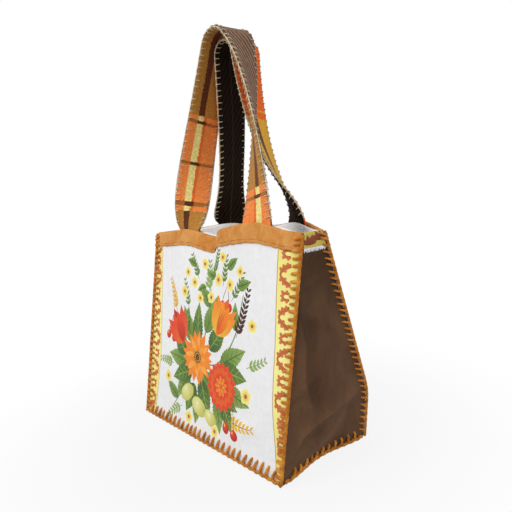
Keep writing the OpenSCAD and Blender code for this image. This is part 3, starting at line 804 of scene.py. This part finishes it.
def scrollUnit(side, base):
    # a leafy bracket and a lobed leaf above it, both open towards the seam
    def at(across, up):
        return borderEdge(side, np.clip(base + up, 0, tall)) + side * across, base + up

    def branch(points, way, up, wide, steps, tip=0.7):
        return strip([at(a, up + z * way) for a, z in points], wide, "terracotta", steps, tip)

    def leaf(across, up, turn, long, wide=scroll["leafWide"]):
        aim = turn if side > 0 else 180 - turn
        return petal(*at(across, up), aim, long, wide, "terracotta", "paleTerracotta", 1.1)

    middle = border["repeat"] / 2
    shapes = [branch(scroll["back"], 1, 0, 3.4, 10, 0.9)]
    for way in (1, -1):
        shapes.append(branch(scroll["limb"], way, 0, 5.6, 12))
        shapes += [leaf(a, z * way, turn * way, long) for a, z, turn, long in scroll["limbLeaves"]]
        shapes.append(branch(scroll["arm"], way, middle, 3.6, 10))
        shapes += [leaf(a, middle + z * way, turn * way, long) for a, z, turn, long in scroll["armLeaves"]]
    shapes.append(leaf(13, middle, 180, 8.0, 4.4))
    shapes.append(disc(*at(15, middle), 7.4, 4.2, "yellow", steps=14))
    return shapes


def borderShapes(side, top):
    heights = np.linspace(0, top, 40)
    seam = np.stack([side * halfWide(heights / tall), heights], -1)
    inner = np.stack([borderEdge(side, heights), heights], -1)
    heart = (inner[0, 0], top / 2)
    shapes = [field(np.concatenate([inner, seam[::-1]]), "yellow", "deepYellow", heart, border["fadeLong"])]
    shapes.append(strip(inner[::4], border["lineWide"], "line", 60, 1.0))
    for base in np.arange(border["rightStart"] if side > 0 else border["leftStart"], top, border["repeat"]):
        for shape in scrollUnit(side, base):
            # ornament stops at the border's edge, as the printed strip does
            z = np.clip(shape["outline"][:, 1], 0, top)
            nearest = borderEdge(side, z) * side + border["margin"]
            x = np.maximum(shape["outline"][:, 0] * side, nearest) * side
            shapes.append(dict(shape, outline=np.stack([x, z], -1)))
    return shapes


def paintedSheet(shapes, top, spacing):
    # triangles that follow the outlines of the print, with extra points so that the cloth can bend
    rows = np.linspace(0, top, int(top / spacing) + 1)
    columns = np.linspace(-1, 1, int(body["topWide"] / spacing) + 1)
    points = [(c * halfWide(z / tall), z) for z in rows for c in columns]
    m, n = len(rows), len(columns)
    grid = np.arange(m * n).reshape(m, n)
    loop = rimLoop(grid).tolist()
    edges = list(zip(loop, loop[1:] + loop[:1]))
    for shape in shapes:
        x, z = shape["outline"].T
        z = np.clip(z, 0, top)
        reach = halfWide(z / tall)
        start = len(points)
        points += np.stack([np.clip(x, -reach, reach), z], -1).tolist()
        ring = list(range(start, len(points)))
        edges += list(zip(ring, ring[1:] + ring[:1]))
    found = delaunay_2d_cdt([Vector(p) for p in points], edges, [], 0, 1e-4)
    places = np.array([v[:] for v in found[0]])
    faces = np.array([f for f in found[2] if len(f) == 3])
    middles = places[faces].mean(axis=1)
    colours = np.empty((len(faces), 3, 4), np.float32)
    colours[:] = linear(cotton["white"])
    for shape in shapes:
        paintField(shape, places, faces, middles, colours)
    return places, faces, colours


def paintField(shape, places, faces, middles, colours):
    outline = shape["outline"]
    low, high = outline.min(axis=0), outline.max(axis=0)
    near = np.flatnonzero(((middles >= low) & (middles <= high)).all(axis=1))
    x, z = middles[near].T[:, :, None]
    x0, z0 = outline.T
    x1, z1 = np.roll(outline, -1, axis=0).T
    with np.errstate(divide="ignore", invalid="ignore"):
        crossing = ((z0 > z) != (z1 > z)) & (x < (x1 - x0) * (z - z0) / (z1 - z0) + x0)
    near = near[crossing.sum(axis=1) % 2 == 1]
    inner, outer = np.array(linear(shape["inner"])), np.array(linear(shape["outer"]))
    if shape["heart"] is None:
        colours[near] = inner
        return
    off = np.linalg.norm(places[faces[near]] - shape["heart"], axis=-1) / shape["reach"]
    colours[near] = mix(inner, outer, ease(0, 1, off)[..., None])


def paintSeamShade(mesh):
    # painted shade: the cut edge at both sides is coloured dark brown, as the shadow in the seam between the
    # yarn and the suede
    dye = mesh.color_attributes["dye"]
    corners = np.empty(len(mesh.loops), int)
    mesh.loops.foreach_get("vertex_index", corners)
    places = np.empty(len(mesh.vertices) * 3)
    mesh.vertices.foreach_get("co", places)
    x, z = places.reshape(-1, 3).T[[0, 2]] / mm
    inSeamShade = np.abs(x) > halfWide(np.clip(z / tall, 0, 1)) - border["seamShadeWide"]
    colours = np.empty(len(mesh.loops) * 4, np.float32)
    dye.data.foreach_get("color", colours)
    colours = colours.reshape(-1, 4)
    colours[inSeamShade[corners]] = linear(dyes["darkBrown"])
    dye.data.foreach_set("color", colours.ravel())


def addPrintedPanel(name, skin, sideways, shapes):
    top = tall - cotton["topRoom"]  # the edge stays inside the folded band
    places, faces, colours = paintedSheet(shapes, top, cotton["meshSize"])
    points = skin(sideways * places[:, 0], places[:, 1] / tall, 0)
    piece = addPiece(name, points, faces.tolist(), cottonCloth, "printed_cotton", name)
    dye = piece.data.color_attributes.new("dye", "FLOAT_COLOR", "CORNER")
    dye.data.foreach_set("color", colours.ravel())
    giveThickness(piece, body["panelThick"])
    paintSeamShade(piece.data)
    print("printed panel", name, len(piece.data.polygons), "faces")


cottonCloth = printedCotton()
borders = borderShapes(1, tall) + borderShapes(-1, tall)
addPrintedPanel("front_panel", frontSkin, 1, borders + bouquet())
addPrintedPanel("back_panel", backSkin, -1, borders)

# Suede ends and base
# the last number darkens these ends towards the mouth with painted shade
brownSuede = suede("brown_suede_brushed", ("#4D3627", "#5D4330", "#6E523B"), 0.3, "#A98D78", 70, 0.54)
caramelSuede = suede("caramel_suede_brushed", ("#B9742F", "#CC8A45", "#DDA161"), 0.2, "#F0CFA6", 22)
liningCotton = spunYarn("lining_cotton_plain_weave", ("#F5F4F2", "#FAFAF9", "#FEFEFE"), 30, 1.6, 0.1)
steps = dict(endDeep=110, endHigh=150, baseWide=64, baseDeep=44, wide=80, deep=56, high=80)


def levels(low, high, count):
    return np.linspace(low, high, count + 1)[:, None]


def addEnds():
    t = levels(0, 1 - body["endRoom"] / tall, steps["endHigh"])
    v = np.linspace(0, 1, steps["endDeep"] + 1)[None]
    for side, name in ends:
        across = v if side > 0 else v[:, ::-1]
        outer = endSkin(side, across, t, 0)
        inner = endSkin(side, across, t, body["panelThick"])
        piece = addPiece(name + "_end", *slab(outer, inner), brownSuede, "brown_suede", name + "_end")
        # painted light and shade beside the creases, kept at each point for the suede's colour
        keepValues(piece, "fold", np.tile(paintedCreaseShading(across, t).ravel(), 2))


def addBase():
    v = np.linspace(0, 1, steps["baseDeep"] + 1)[:, None]
    across = np.linspace(-1, 1, steps["baseWide"] + 1)[None]
    reach = endAt(1, v, 0, body["panelThick"] + body["gap"])
    front = frontEdge(body["panelThick"] / tall) + body["panelThick"] + body["gap"]
    y = np.maximum(reach[..., 1], front)
    outline = np.stack([across * reach[..., 0], y + 0 * across, 0 * across * y], -1)
    board = slab(outline + (0, 0, body["panelThick"]), outline)
    piece = addPiece("bottom_panel", *board, brownSuede, "brown_suede", "bottom_panel")
    share = lining["baseShare"]
    inside = outline * (share, share, 1) + (0, 0, body["panelThick"] + body["gap"])
    cloth = slab(inside + (0, 0, body["liningThick"]), inside)
    cover = addPiece("bottom_lining", *cloth, liningCotton, "lining_cotton", "bottom_lining")


# Lining: it stands off the panels only where the strap ends are sewn in
lining = dict(
    inset=2.2, stand=10.4, pocketTall=32, pocketEase=16, endInset=4.0, low=3.0, baseShare=0.985)


def liningDepth(x, t):
    below = (1 - t) * tall
    level = 1 - np.clip(np.abs(x) / halfWide(t), 0, 1) ** 8
    pocket = 1 - ease(lining["pocketTall"], lining["pocketTall"] + lining["pocketEase"], below)
    return lining["inset"] + lining["stand"] * level * pocket


def addLining(name, at, where, depth):
    faces = [at(*where, depth + more) for more in (body["liningThick"], 0)]
    return addPiece(name, *slab(*faces), liningCotton, "lining_cotton", name)


def addLinings():
    t = levels(lining["low"] / tall, 1, steps["high"])
    across = np.linspace(-1, 1, steps["wide"] + 1)[None]
    for name, at, way in (("front", frontAt, -1), ("back", backAt, 1)):
        x = way * across * (halfWide(t) - lining["endInset"])
        piece = addLining(name + "_lining", at, (x, t), liningDepth(x, t))
    t = levels(lining["low"] / tall, 1 - (bandSize["turn"] + body["gap"]) / tall, steps["high"])
    v = np.linspace(0, 1, steps["deep"] + 1)[None]
    for side, name in ends:
        across = v[:, ::-1] if side > 0 else v
        piece = addLining(name + "_lining", endSkin, (side, across, t), lining["inset"])


addEnds()
addBase()
addLinings()
print("ends, base and linings made")


# Bands: suede strips folded over the mouth, a little uneven along the cut edge
def foldSection(drop, turn, thick, count=15):
    # outer and inner face of the folded strip as [depth, height], from the outer cut edge over the top
    radius = (body["panelThick"] + 4 * body["gap"] + thick) / 2 + 0.2
    outside, top = -body["gap"] - thick / 2, bandSize["crown"] - radius
    up = [(outside, h) for h in np.linspace(-drop, top, count)]
    angles = np.linspace(0.2, math.pi - 0.2, 9)
    over = [(outside + radius - radius * math.cos(a), top + radius * math.sin(a)) for a in angles]
    down = [(outside + 2 * radius, h) for h in np.linspace(top, -turn, 7)]
    middle = np.array(up + over + down)
    run = unit(np.gradient(middle, axis=0))
    normal = np.stack([-run[:, 1], run[:, 0]], -1)
    taper = thick / 2 * np.minimum(1, 0.55 + np.arange(len(middle)) * 0.45)[:, None]
    return middle + normal * taper, middle - normal * taper


edgeWaver = ripples(21, 5, 12, 40, lean=5)
topstitch = dict(
    pitch=3.9, long=2.7, above=4.2, room=12, thick=0.5,
    along=(0, 0.25, 0.5, 0.75, 1), depth=(0.35, -0.12, -0.2, -0.12, 0.35),
)


def bandFace(at, section, across, way):
    depth, height = section[:, :1], section[:, 1:]
    inside = ease(0.5, 3, depth)
    x = way * across * mix(bandSize["halfWide"], bandSize["turnHalfWide"], inside)
    low = ease(-bandSize["waverFrom"], -bandSize["tall"], height)
    waver = edgeWaver(x, 0 * x)
    t = 1 + np.minimum(0, height + bandSize["waver"] * waver * low) / tall
    points = at(x, t, depth - bandSize["curl"] * (1 + waver) * low * (1 - inside))
    points[..., 2] += np.maximum(0, height)
    return points


def addBand(name, at, way):
    sections = foldSection(bandSize["tall"], bandSize["turn"], bandSize["thick"])
    across = np.linspace(-1, 1, 241)[None]
    faces = [bandFace(at, section, across, way) for section in sections]
    piece = addPiece(name, *slab(*faces), caramelSuede, "caramel_suede", name)
    # topstitching a few millimetres above the cut edge
    stitches = []
    half, pitch = bandSize["halfWide"] - topstitch["room"], topstitch["pitch"]
    t = 1 + (topstitch["above"] - bandSize["tall"]) / tall
    depth = np.array(topstitch["depth"]) - body["gap"] - bandSize["thick"]
    for k in range(int(2 * half / pitch)):
        x = way * (-half + pitch * (k + 0.5) + np.array(topstitch["along"]) * topstitch["long"])
        stitches.append(tube(at(x, t, depth), topstitch["thick"], 6, 2, 0.1, 2.0))
    addPiece(name + "_topstitch", *joined(stitches), tanThread, "cream_thread")


tanThread = spunYarn("tan_thread_twisted", ("#74481C", "#96602C", "#B98246"), 5, 0.6)
addBand("front_band", frontSkin, 1)
addBand("back_band", backSkin, -1)


# End bands: strips cut from the border of the print, their lower edge left to fray
def addEndBands():
    outer, inner = foldSection(bandSize["endTall"], bandSize["turn"], bandSize["thick"], 40)
    for side, name in ends:
        v = np.linspace(0.02, 0.98, 81)[None]
        across = v if side > 0 else v[:, ::-1]
        faces = []
        for section in (outer, inner):
            depth, height = section[:, :1], section[:, 1:]
            points = endAt(side, across, 1 + np.minimum(0, height) / tall, depth)
            points[..., 2] += np.maximum(0, height)
            faces.append(points)
        piece = addPiece(name + "_end_band", *slab(*faces), cottonCloth, "border_cotton", name + "_end_band")
        dyeEndBand(piece, outer, across)
        frayed = addPiece(name + "_end_fringe", *joined(fringeThreads(side)), frayedCotton, "border_cotton")


# two leaves of the border print, each of four lobes, by place on the strip
endPrint = dict(
    deep=31, turnOff=40, spots=((8.5, -14), (22.5, -10)), leans=(-58, -20, 20, 58), long=13, wide=5.6)


def dyeEndBand(piece, section, across):
    high = section[:, 1:] + 0 * across
    deep = np.where(section[:, :1] > 1, endPrint["turnOff"], 0) + across * endPrint["deep"]
    places = np.stack([deep.ravel(), high.ravel()], -1)
    colours = np.empty((len(places), 1, 4), np.float32)
    colours[:] = linear(dyes["bandGround"])
    for spot in endPrint["spots"]:
        for lean in endPrint["leans"]:
            lobe = petal(*spot, 90 - lean, endPrint["long"], endPrint["wide"], "bandLeaf", "bandLeafTip", 1.2)
            paintField(lobe, places, np.arange(len(places))[:, None], places, colours)
    dye = piece.data.color_attributes.new("dye", "FLOAT_COLOR", "POINT")
    dye.data.foreach_set("color", np.tile(colours.ravel(), 2))


fringe = dict(threads=80, long=4.6, thick=0.36)


def fringeThreads(side):
    threads = []
    for k in range(fringe["threads"]):
        v = 0.04 + 0.92 * (k + dice.uniform(0.1, 0.9)) / fringe["threads"]
        long = fringe["long"] * dice.uniform(0.6, 1.15)
        lean = dice.uniform(-0.03, 0.03)
        drops = np.array([-2.0, 0.2, 0.6 * long, long])
        depth = np.array([-0.9, -1.1, -0.9 - dice.uniform(0, 0.6), -0.35])
        path = endAt(side, v + lean * drops / long, 1 - (bandSize["endTall"] + drops) / tall, depth)
        threads.append(tube(curveThrough(path, 6), fringe["thick"], 5, 2, 0.1, 2))
    return threads


frayedCotton = spunYarn("white_cotton_frayed", ("#D9D9DA", "#ECECEE", "#F7F7F8"), 6, 0.8, 0.2)
addEndBands()
print("bands made")


# Straps: two layers sewn face to face, the front edge at the top is the outer edge of a leg
strap = dict(
    wide=50, wool=2.2, suede=1.6, gap=0.5, tuck=28, inset=8.15, legSteps=64, legEase=1.4, bendSteps=36,
    swell=0.1, drawn=0.016, puff=0.06,
)
frontHandle = dict(
    name="front_handle", front=True, top=565, bend=28.5, place=(-4, 33), lean=27,
    pulls=(0.2, 0.21), quick=(3.2, 0.94), over=(0, 0),
)
backHandle = dict(
    name="back_handle", front=False, top=552, bend=19, place=(-9, 53), lean=2.5,
    pulls=(0.17, 0.7), quick=(6, 0.86), over=(8, 0),
)
strapThick = strap["wool"] + strap["suede"] + strap["gap"]
# profile of a stitch: (past the strap's edge, above its middle)
thread = dict(
    thick=1.5, arm=6.5, pitch=8.7, gap=0.2, drawn=0.35, armThick=0.44,
    profile=((0.8, 0.15), (0.6, 1.6), (-0.8, 2.8), (-3.2, 3.0), (-4.7, 2.7), (-5.7, 1.5)),
)


def footAt(handle, side, below, off=0.0, depth=strap["inset"]):
    x = body["legLeft"] if side < 0 else body["legRight"]
    at = frontAt if handle["front"] else backAt
    return at(x + off, 1 - below / tall, depth)


def footTurn(handle, side):
    d = strap["wide"] / 2
    right, left = (footAt(handle, side, 0, off, 0)[1] for off in (d, -d))
    return -side * math.atan2(right - left, 2 * d)


def bendAt(handle, angle):
    middle = np.array([*handle["place"], handle["top"] - strapThick / 2 - handle["bend"]])
    return middle + handle["bend"] * np.array([math.cos(angle), 0, math.sin(angle)])


def strapStations(handle):
    # points along the strap with its run and edge direction, from the left end to the right end
    lean = math.radians(handle["lean"])
    legs = {}
    for side in (-1, 1):
        foot = footAt(handle, side, 0)
        rise = unit(foot - footAt(handle, side, strap["tuck"]))
        end = bendAt(handle, math.pi - lean if side < 0 else lean)
        reach = np.linalg.norm(end - foot)
        up = np.array([-side * math.sin(lean), 0, math.cos(lean)])
        lowPull, highPull = handle["pulls"]
        a, b, c, d = foot, foot + rise * reach * lowPull, end - up * reach * highPull, end
        quick, over = (handle[key][0 if side < 0 else 1] for key in ("quick", "over"))
        start = footTurn(handle, side)
        depths = np.linspace(strap["tuck"], 3, 8)
        rows = [(foot - rise * below, -side * rise, side, start) for below in depths]
        for k in range(strap["legSteps"] + 1):
            f = (k / strap["legSteps"]) ** strap["legEase"]
            point = (1 - f) ** 3 * a + 3 * f * (1 - f) ** 2 * b + 3 * f * f * (1 - f) * c + f ** 3 * d
            run = (1 - f) ** 2 * (b - a) + 2 * f * (1 - f) * (c - b) + f * f * (d - c)
            turn = mix(start, math.pi / 2, 1 - (1 - f) ** quick) + math.radians(over) * swell(f)
            rows.append((point, -side * run, side, turn))
        legs[side] = rows
    bend = []
    for angle in np.linspace(math.pi - lean, lean, strap["bendSteps"] + 1)[1:-1]:
        bend.append((bendAt(handle, angle), np.array([math.sin(angle), 0, -math.cos(angle)]), 1, math.pi / 2))
    rows = legs[-1] + bend + legs[1][::-1]
    place = np.array([r[0] for r in rows])
    run = unit(np.array([r[1] for r in rows]))
    sides, turns = np.array([r[2:] for r in rows]).T
    edge = np.stack([sides * np.cos(turns), -np.sin(turns), 0 * turns], -1)
    edge = unit(edge - (edge * run).sum(axis=1, keepdims=True) * run)
    return place, run, edge, lengthAlong(place) - strap["tuck"]


def addLayer(handle, stations, inward, thick, name, material, slot):
    place, run, edge, along = stations
    start = (strap["wool"] - strap["suede"]) / 2 * (-1 if handle["front"] else 1)
    low = start + strap["gap"] / 2 - strap["swell"] if inward else start - strap["gap"] / 2 - thick
    high = low + thick + strap["swell"]
    middle, half, soft = (low + high) / 2, strap["wide"] / 2, (high - low) / 2
    bulk = np.linspace(-half + soft, half - soft, 17)
    corner = np.sin(np.linspace(0, math.pi / 2, 5))[1:]
    wide = np.concatenate([-(half - soft) - soft * corner[::-1], bulk, half - soft + soft * corner])
    rounding = soft * np.sqrt(np.clip(1 - (np.maximum(0, np.abs(wide) - half + soft) / soft) ** 2, 0, 1))
    ringWide = np.concatenate([wide, wide[-2:0:-1]])
    ringThick = np.concatenate([middle + rounding, (middle - rounding)[-2:0:-1]])
    # the edge thread draws the cloth in a little at every stitch
    stitch = stitchWave(along[:, None] / thread["pitch"])
    wides = ringWide * (1 - strap["drawn"] * stitch * np.abs(ringWide / half) ** 4)
    puff = strap["puff"] * smallRipple(ringWide * 1.5, along[:, None]) * np.sign(ringThick - middle)
    thicks = ringThick + puff * rounding.max()
    face = np.cross(run, edge)
    rings = place[:, None] + edge[:, None] * wides[..., None] + face[:, None] * thicks[..., None]
    m, n = rings.shape[:2]
    faces = [corners[::-1] for corners in ringFaces(m, n)]
    piece = addPiece(name, rings.reshape(-1, 3), faces, material, slot, name)
    keepValues(piece, "across", np.tile(ringWide, m) * mm)
    keepValues(piece, "along", np.repeat(along, n) * mm)


def addEdgeThread(stations, side, name):
    free = (stations[3] > 3) & (stations[3] < stations[3][-1] - strap["tuck"] - 3)
    place, run, edge = (values[free] for values in stations[:3])
    half, thick, pitch = strap["wide"] / 2, thread["thick"], thread["pitch"]
    line = place + edge * side * (half + thick / 2 + thread["gap"])
    reach = lengthAlong(line)

    def sampled(values, spot):
        return np.stack([np.interp(spot, reach, values[:, k]) for k in range(3)], -1)

    fine = np.linspace(0, reach[-1], int(reach[-1] / 1.0))
    inStitch = stitchWave(fine / pitch)
    route = sampled(line, fine) - sampled(edge, fine) * side * thread["drawn"] * inStitch[:, None]
    parts = [tube(route, thick / 2 * (0.92 + 0.16 * inStitch), 9, 3, 0.13, 5.0)]
    for k in range(1, int(reach[-1] / pitch) + 1):
        spot = pitch * k + dice.uniform(-0.5, 0.5)
        if spot > reach[-1] - 2:
            continue
        point, forward, out = sampled(place, spot), unit(sampled(run, spot)), unit(sampled(edge, spot))
        for face in (-1, 1):
            slant = dice.uniform(0.6, 2.2) * side
            long = dice.uniform(0.9, 1.1)
            up = np.cross(forward, out) * face
            path = []
            for w, h in thread["profile"]:
                off = out * side * (half + w * (long if w < 0 else 1))
                path.append(point + off + up * h + forward * slant * max(0, -w) / thread["arm"])
            radius = thick * thread["armThick"] * np.linspace(1, 0.8, 9)
            parts.append(tube(curveThrough(path, 9), radius, 6, 2, 0.12, 3.4, k))
    addPiece(name, *joined(parts), creamThread, "cream_thread", name)


def addHandle(handle, zones, ground, orange, cord):
    stations = strapStations(handle)
    length = stations[3][-1] - strap["tuck"]
    wool = plaidWool("plaid_wool_milled_" + handle["name"], zones(length), length, ground, orange)
    inward = handle["front"]
    addLayer(handle, stations, inward, strap["wool"], handle["name"] + "_wool", wool, "plaid_wool")
    addLayer(handle, stations, not inward, strap["suede"], handle["name"] + "_suede", cord, "handle_suede")
    addEdgeThread(stations, 1, handle["name"] + "_outer_thread")
    addEdgeThread(stations, -1, handle["name"] + "_inner_thread")
    print("handle", handle["name"], "strap", round(length), "mm above the mouth")


def frontZones(length):
    return (
        (0, "ground"), (26, "orange"), (34, "band"), (40, "orange"), (93, "band"), (99, "orange"),
        (154, "band"), (159, "orange"), (166, "ground"),
        (length - 46, "orange"), (length - 37, "band"), (length - 31, "orange"))


def backZones(length):
    return (
        (0, "ground"), (150, "orange"), (length - 176, "ground"), (length - 172, "orange"),
        (length - 162, "ground"), (length - 24, "orange"))


creamThread = spunYarn("cream_thread_twisted", ("#9C8F74", "#CBBEA0", "#ECE2C8"), 6, 0.7)
paleCord = ribbedCloth("brown_needlecord_brushed", ("#3A281D", "#735747", "#B08E74"), "#735747", 0.25)
# partly painted shade: the back strap's own cloth is dark brown, and its tones are darker still, near black,
# as its shaded face under the loops
darkCordWithShade = ribbedCloth("dark_brown_needlecord_with_painted_shade", ("#160B05", "#211208", "#302012"), "#463020", 0.04)
addHandle(frontHandle, frontZones, plaid["mustard"], plaid["orange"], paleCord)
addHandle(backHandle, backZones, plaid["gold"], plaid["redOrange"], darkCordWithShade)

# Blanket stitch in thick yarn on every seam of the body
# profile of a stitch: (distance from the seam, height off the cloth)
yarn = dict(
    thick=3.2, plump=1.28, arm=9, pitch=8.5, basePitch=11, slant=1.4, baseSlant=3.2, endSlant=-3.4,
    cornerRoom=6.4, mouthRoom=4.5, foot=2.6, sides=12, plies=3, lobe=0.14, lay=9.0, armLay=8.0,
    profile=((-1.0, -0.5), (-0.3, 1.8), (2.0, 2.6), (5.0, 2.3), (7.8, 1.7), (9.6, -0.6)),
)
mustardYarn = spunYarn("mustard_wool_yarn_spun", ("#8C4F0C", "#C07417", "#DE9A31"), 9, 0.9)
yarnRadius = yarn["thick"] / 2


def yarnCord(path, fullness):
    radius = yarnRadius * yarn["plump"] * fullness
    return tube(path, radius, yarn["sides"], yarn["plies"], yarn["lobe"], yarn["lay"])


def yarnArm(spot, start, share=1.0, fat=1.0):
    # spot gives the point at a distance from the edge and a height off the cloth
    long = share * dice.uniform(0.9, 1.08)
    path = [spot(d * (long if d > 0 else 1), h) for d, h in yarn["profile"]]
    radius = fat * yarnRadius * yarn["plump"] * np.linspace(1.02, 0.72, 12)
    return tube(curveThrough(path, 12), radius, 10, yarn["plies"], yarn["lobe"], yarn["armLay"], start)


def sewOn(parts, name):
    addPiece(name, *joined(parts), mustardYarn, "mustard_yarn", name)


def overBand(bandTall, z):
    # the stitch climbs over the band near the mouth
    return (bandSize["thick"] + body["gap"]) * ease(bandTall + 2, bandTall - 1, tall - z)


def addUprightYarn(front, side, name):
    at = frontSkin if front else backSkin
    edge = frontEdge if front else backEdge
    heights = np.linspace(yarn["foot"], tall - 0.3, 340)
    t = heights / tall
    inStitch = stitchWave((heights - yarn["cornerRoom"]) / yarn["pitch"] - 0.5)
    push = (yarnRadius + 0.2) * math.sqrt(0.5) + 0.25 - 0.5 * inStitch
    cord = np.stack([side * (halfWide(t) + push), edge(t) + (-push if front else push), heights], -1)
    parts = [yarnCord(cord, 0.9 + 0.17 * inStitch)]
    for k in range(int((tall - yarn["cornerRoom"]) / yarn["pitch"]) + 1):
        z = yarn["cornerRoom"] + yarn["pitch"] * (k + 0.5) + dice.uniform(-0.6, 0.6)
        z = min(z, tall - yarn["mouthRoom"])
        slant = yarn["slant"] + dice.uniform(-0.8, 0.8)

        def onPanel(d, h):
            level = (z - slant * max(d, 0) / yarn["arm"]) / tall
            return at(side * (halfWide(level) - d), level, -h - overBand(bandSize["tall"], z))

        def onEnd(d, h):
            level = min(z - yarn["endSlant"] * max(d, 0) / yarn["arm"], tall - 1) / tall
            deep = endBack(z / tall) - endFront(z / tall)
            return endSkin(side, 1 - min(d / deep, 0.42), level, -h - overBand(bandSize["endTall"], z))
        # at the front seams the yarn lies on the panel alone
        parts.append(yarnArm(onPanel, k, 1.0, 1.1 if front else 1.0))
        if not front:
            parts.append(yarnArm(onEnd, k + 2, 0.8, 0.8))
    sewOn(parts, name)


def baseCord(skin, places, inStitch):
    # the cord is drawn up and in at every stitch
    cord = skin(places, (1.52 * yarnRadius + 1.3 * inStitch) / tall, -1.3 * yarnRadius + 0.5 * inStitch)
    return yarnCord(cord, 0.86 + 0.14 * inStitch)


def baseLevel(d):
    return (d + yarn["thick"] + 0.3) / tall


def addLongBaseYarn(front, name):
    at = frontSkin if front else backSkin
    half, pitch = halfWide(0) - yarnRadius, yarn["basePitch"]
    x = np.linspace(-half - 2.4 * yarnRadius, half + 2.4 * yarnRadius, 340)
    count = int(2 * (half - yarn["arm"] - yarn["thick"]) / pitch)
    first = -pitch * count / 2
    parts = [baseCord(at, x, stitchWave((x - first) / pitch))]
    for k in range(count + 1):
        place = first + pitch * k + dice.uniform(-0.8, 0.8)
        slant = (yarn["baseSlant"] + dice.uniform(-0.8, 1.4)) * (1 if front else -1)

        def onPanel(d, h):
            return at(place + slant * max(d, 0) / yarn["arm"], baseLevel(d), -h)
        parts.append(yarnArm(onPanel, k, 1.2))
    sewOn(parts, name)


def addEndBaseYarn(side, name):
    run = endBack(0) - endFront(0)
    margin, inset = yarn["thick"] / run, (yarn["arm"] + yarn["thick"]) / run
    count = int(run * (1 - 2 * inset) / yarn["basePitch"])
    v = np.linspace(margin, 1 - margin, 170)

    def onEnd(share, level, depth):
        return endSkin(side, share, level, depth)
    parts = [baseCord(onEnd, v, stitchWave((v - inset) / (1 - 2 * inset) * count - 0.5))]
    for k in range(count):
        place = mix(inset, 1 - inset, (k + 0.5) / count) + dice.uniform(-0.006, 0.006)
        slant = yarn["slant"] + dice.uniform(-0.8, 1.4)

        def spot(d, h):
            return onEnd(place + slant * max(d, 0) / yarn["arm"] / run, baseLevel(d), -h)
        parts.append(yarnArm(spot, k))
    sewOn(parts, name)


for front, face in ((True, "front"), (False, "back")):
    for side, end in ends:
        addUprightYarn(front, side, face + "_" + end + "_yarn")
    addLongBaseYarn(front, face + "_base_yarn")
for side, end in ends:
    addEndBaseYarn(side, end + "_base_yarn")
print("yarn stitches made")

# Studio: pale floor, white surround, one large soft lamp and a weaker fill
studio = dict(floor="#B9B9B9", floorHalf=4.0, nearFloor=0.12, farFloor=0.5, nearWhite=0.86, ambient=0.7)
lamps = (
    dict(name="key", place=(-0.7, -1.7, 1.5), aim=(0, 0, 0.25), size=1.4, power=22),
    dict(name="fill", place=(1.7, -0.5, 0.9), aim=(0, 0, 0.25), size=1.2, power=8),
)


def seenDirectly(tree):
    # 1 for what the camera sees, by itself, in a gloss or through something clear
    rays = addNode(tree, "LightPath").outputs
    first = maths(tree, "MAXIMUM", rays["Is Camera Ray"], rays["Is Glossy Ray"])
    return maths(tree, "MAXIMUM", first, rays["Is Transmission Ray"])


def addStudio():
    half = studio["floorHalf"]
    mesh = bpy.data.meshes.new("floor")
    corners = [(-half, -half, 0), (half, -half, 0), (half, half, 0), (-half, half, 0)]
    mesh.from_pydata(corners, [], [(0, 1, 2, 3)])
    floor = bpy.data.objects.new("floor", mesh)
    scene.collection.objects.link(floor)
    material, tree, shader = newMaterial(
        "floor_matt_paper", Roughness=0.95, Base_Color=linear(studio["floor"]), Specular_IOR_Level=0.0)
    away = addNode(tree, "VectorMath", dict(operation="LENGTH"), {0: ownPlace(tree)}).outputs["Value"]
    white = remap(tree, away, studio["nearFloor"], studio["farFloor"], studio["nearWhite"], 1.0,
                  interpolation_type="SMOOTHSTEP")
    share = maths(tree, "MULTIPLY", white, seenDirectly(tree))
    glow = addNode(tree, "Emission", {}, dict(Strength=1.0)).outputs["Emission"]
    both = addNode(tree, "MixShader", {}, {0: share, 1: shader.outputs["BSDF"], 2: glow})
    tree.links.new(both.outputs["Shader"], tree.nodes["Material Output"].inputs["Surface"])
    mesh.materials.append(material)


def addWorld():
    world = bpy.data.worlds.new("surround")
    scene.world = world
    world.use_nodes = True
    tree = world.node_tree
    level = remap(tree, seenDirectly(tree), 0.0, 1.0, studio["ambient"], 1.0)
    surround = tree.nodes["Background"]
    surround.inputs["Color"].default_value = (1, 1, 1, 1)
    tree.links.new(level, surround.inputs["Strength"])


def addLamps():
    for lamp in lamps:
        light = bpy.data.lights.new(lamp["name"], "AREA")
        light.energy = lamp["power"]
        light.size = lamp["size"]
        holder = bpy.data.objects.new(lamp["name"], light)
        holder.location = lamp["place"]
        aim = Vector(lamp["aim"]) - Vector(lamp["place"])
        holder.rotation_euler = aim.to_track_quat("-Z", "Y").to_euler()
        scene.collection.objects.link(holder)


addStudio()
addWorld()
addLamps()
print("studio made")
